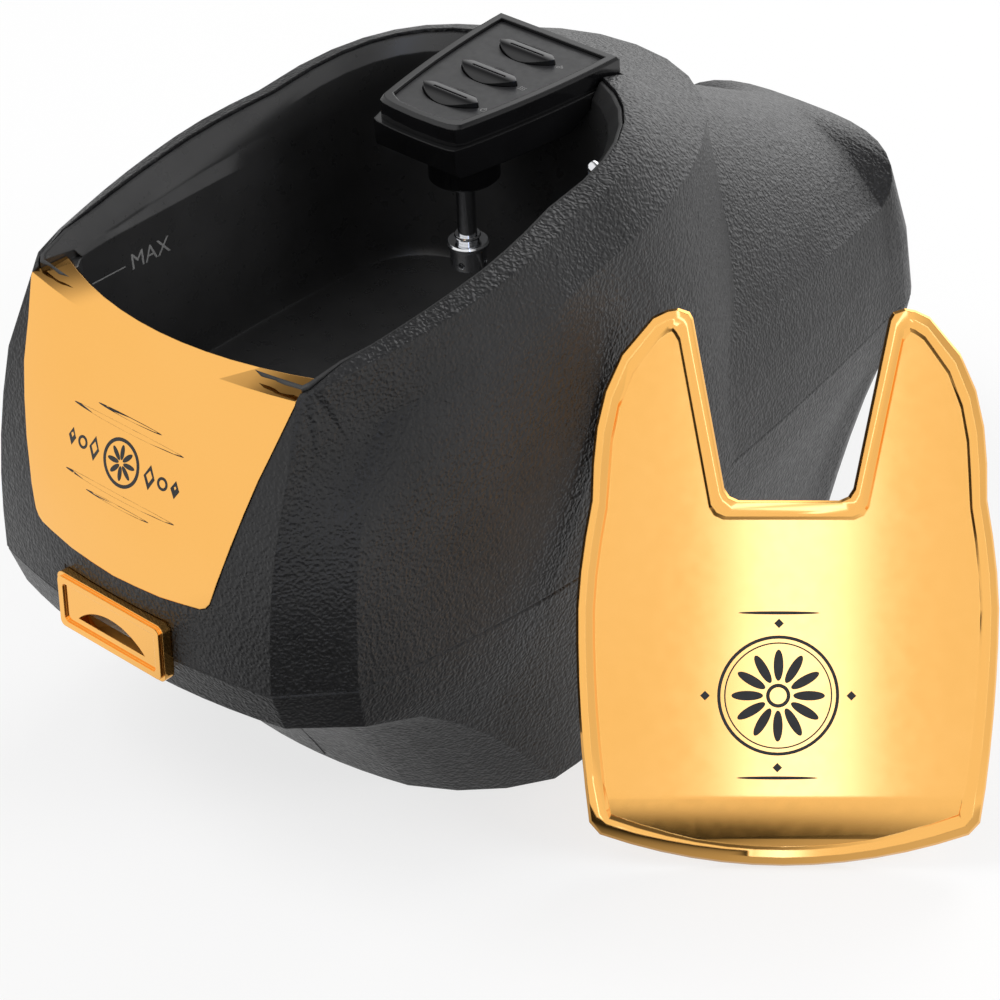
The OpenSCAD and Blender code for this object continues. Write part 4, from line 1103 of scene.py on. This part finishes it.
@dataclass
class Studio:
    """Pale floor, soft lamps and the camera at the photograph's angle.

    Attributes:
        azimuth_deg: Turn of the camera from the front to the right.
        height_deg: Its angle over the floor.
        distance: Its distance from the aim.
        aim: What it points at.
        lens_mm: Focal length.
        sensor_mm: Width of its sensor.
        floor_side: Side of the floor.
        floor_grey: Lowest and highest grey of the floor.
        floor_patches: Patches of grey in a metre.
        floor_rough: Roughness of the floor.
        floor_shine: Strength of its reflection.
        floor_share: How much of the floor the camera sees as its own light.
        painted_shadow_spot: Place on the floor that plating shows dark.
        painted_shadow_reach: Distances from there where the floor starts and ends to grow light.
        painted_shadow_level: The floor's light at those distances.
        behind: Light from behind, over the machine.
        beside: Light from the right.
        around: Light from the front left, round to the dark rear right.
        right_span: Stretch towards the camera's right over which all that light fades.
        right_level: What is left of it before and after.
        strip_at: Where the bright strip stands, towards the camera's right.
        strip_half: Half the strip's width.
        strip_span: Stretch towards the camera over which the strip comes up.
        strip_power: Brightness of the strip.
        strip_tint: Colour of the strip.
        soft_light: Brightness of the world for all but plating.
        lamps: The lamps.
    """

    azimuth_deg: float = 42.15
    height_deg: float = 33.0
    distance: float = 0.875
    aim: Point = (0.0, 0.0, 0.032)
    lens_mm: float = 114.55
    sensor_mm: float = 36.0
    floor_side: float = 12.0
    floor_grey: Pair = (0.86, 0.88)
    floor_patches: float = 3.0
    floor_rough: float = 0.85
    floor_shine: float = 0.1
    floor_share: float = 0.75
    # painted_shadow_spot: Middle of the painted shadow, a place on the floor that plating shows dark.
    # painted_shadow_reach: Distances from there where the painted shadow starts and ends to fade and the
    # floor to grow light. painted_shadow_level: The floor's light in plating at those distances, dark
    # inside the painted shadow.
    painted_shadow_spot: Point = (0.17, -0.215, 0.0)
    painted_shadow_reach: Pair = (0.09, 0.25)
    painted_shadow_level: Pair = (0.03, 0.97)
    behind: Glow = Glow((-0.1, 0.9, 0.42), (0.72, 0.97), (0.0, 2.4))
    beside: Glow = Glow((0.9, 0.42, 0.0), (0.55, 0.97), (0.0, 0.9))
    around: Glow = Glow((-0.3, -0.95, 0.0), (-0.25, 0.25), (0.14, 0.97))
    right_span: Pair = (0.55, 0.95)
    right_level: Pair = (1.0, 0.3)
    strip_at: float = 0.088
    strip_half: float = 0.036
    strip_span: Pair = (0.3, 0.7)
    strip_power: float = 1.7
    strip_tint: tuple[float, float, float, float] = (0.8, 1.0, 1.6, 1.0)
    soft_light: float = 0.42
    lamps: tuple[Lamp, ...] = (
        Lamp("top_left", (-0.7, -0.7, 1.5), (0.0, 0.0, 0.1), 0.9, 13),
        Lamp("right_side", (1.5, 0.5, 0.9), (0.0, 0.0, 0.08), 0.8, 14),
        Lamp("behind", (-0.3, 1.4, 1.3), (0.0, 0.0, 0.1), 0.8, 12))

    def facing(self) -> tuple[Vector, Vector, Vector]:
        """The camera's right, up and back directions."""
        a, e = math.radians(self.azimuth_deg), math.radians(self.height_deg)
        back = Vector((math.sin(a) * math.cos(e), -math.cos(a) * math.cos(e), math.sin(e)))
        right = Vector((math.cos(a), math.sin(a), 0))
        return right, back.cross(right), back

    def camera(self) -> None:
        """Adds the camera."""
        right, up, back = self.facing()
        data = bpy.data.cameras.new("camera")
        data.lens = self.lens_mm
        data.sensor_width = self.sensor_mm
        item = bpy.data.objects.new("camera", data)
        bpy.context.scene.collection.objects.link(item)
        item.matrix_world = (Matrix.Translation(Vector(self.aim) + back * self.distance)
                             @ Matrix((right, up, back)).transposed().to_4x4())
        bpy.context.scene.camera = item

    def floor(self) -> None:
        """Adds the floor: pale to the eye, and in plating a glow with a painted shadow, dark where the
        front looks down.
        """
        bpy.ops.mesh.primitive_plane_add(size=self.floor_side, location=(0, 0, 0))
        item = active("floor")
        sheet = NodeSheet("pale_floor")
        low, high = self.floor_grey
        sheet.tint(sheet.noise(self.floor_patches), (low,) * 3, (high,) * 3)
        sheet.level(Roughness=self.floor_rough, Specular_IOR_Level=self.floor_shine)
        ray = sheet.add("ShaderNodeLightPath").outputs
        # Painted shadow: in plating the floor is an emission that is dark round a spot by the machine's
        # front, in place of the machine's shadow.
        away = sheet.add("ShaderNodeVectorMath", operation="DISTANCE")
        away.inputs[1].default_value = self.painted_shadow_spot
        sheet.link(sheet.place, away.inputs[0])
        painted_shadow_glow = sheet.ease(away.outputs["Value"], self.painted_shadow_reach, self.painted_shadow_level)
        glow = sheet.add("ShaderNodeEmission")
        sheet.link(sheet.reckon("MAXIMUM", ray["Is Camera Ray"], painted_shadow_glow), glow.inputs["Strength"])
        mix = sheet.add("ShaderNodeMixShader")
        share = sheet.reckon("MULTIPLY_ADD", ray["Is Camera Ray"], self.floor_share, ray["Is Glossy Ray"])
        sheet.link(share, mix.inputs["Fac"])
        sheet.link(sheet.shader.outputs[0], mix.inputs[1])
        sheet.link(glow.outputs[0], mix.inputs[2])
        sheet.link(mix.outputs[0], sheet.tree.nodes["Material Output"].inputs["Surface"])
        item.data.materials.append(sheet.material)

    def strip(self, sheet: WorldSheet, right: Vector, level: Vector) -> bpy.types.NodeSocket:
        """Brightness of the narrow upright strip behind the camera.

        Args:
            sheet: The world's sheet.
            right: The camera's right.
            level: Direction of the camera, along the floor.

        Returns:
            The brightness's socket.
        """
        off = sheet.reckon("ABSOLUTE", sheet.reckon("SUBTRACT", sheet.along(right), self.strip_at))
        near = sheet.ease(off, (0.0, self.strip_half), (1.0, 0.0))
        ahead = sheet.ease(sheet.along(level), self.strip_span, (0.0, 1.0))
        return sheet.ease(sheet.reckon("MULTIPLY", near, ahead), (0.0, 1.0), (0.0, self.strip_power))

    def sky(self) -> None:
        """Lights the world: white to the eye, with lit and dark sides in plating."""
        sheet = WorldSheet("studio_world")
        ray = sheet.add("ShaderNodeLightPath").outputs
        right, _, back = self.facing()
        above = sheet.reckon("ADD", sheet.glow(self.behind), sheet.glow(self.beside))
        fade = sheet.ease(sheet.along(right), self.right_span, self.right_level)
        sides = sheet.reckon("ADD", sheet.reckon("MULTIPLY", sheet.glow(self.around), fade), above)
        strip = self.strip(sheet, right, Vector((back.x, back.y, 0)).normalized())
        light = sheet.mixed(self.soft_light, sheet.reckon("ADD", sides, strip), ray["Is Glossy Ray"])
        seen = sheet.reckon("MAXIMUM", ray["Is Camera Ray"], ray["Is Transmission Ray"])
        tinted = sheet.reckon("MULTIPLY", strip, ray["Is Glossy Ray"])
        background = sheet.tree.nodes["Background"].inputs
        sheet.link(sheet.mixed(light, 1.0, seen), background["Strength"])
        sheet.link(sheet.mixed((1, 1, 1, 1), self.strip_tint, tinted, "RGBA"), background["Color"])

    def build(self) -> None:
        """Builds the studio."""
        self.camera()
        self.floor()
        self.sky()
        for lamp in self.lamps:
            lamp.hang()
        bpy.context.scene.view_settings.view_transform = "Standard"


def main() -> None:
    """Builds the machine's looks."""
    logging.basicConfig(level=logging.INFO, format="%(name)s: %(message)s")
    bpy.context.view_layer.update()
    Studio().build()
    for assembly in (Housing(), Tank(), Console(), Mixer(), Lid(), Inside()):
        assembly.build()
    LOG.info("sizes written")


if __name__ == "__main__":
    main()
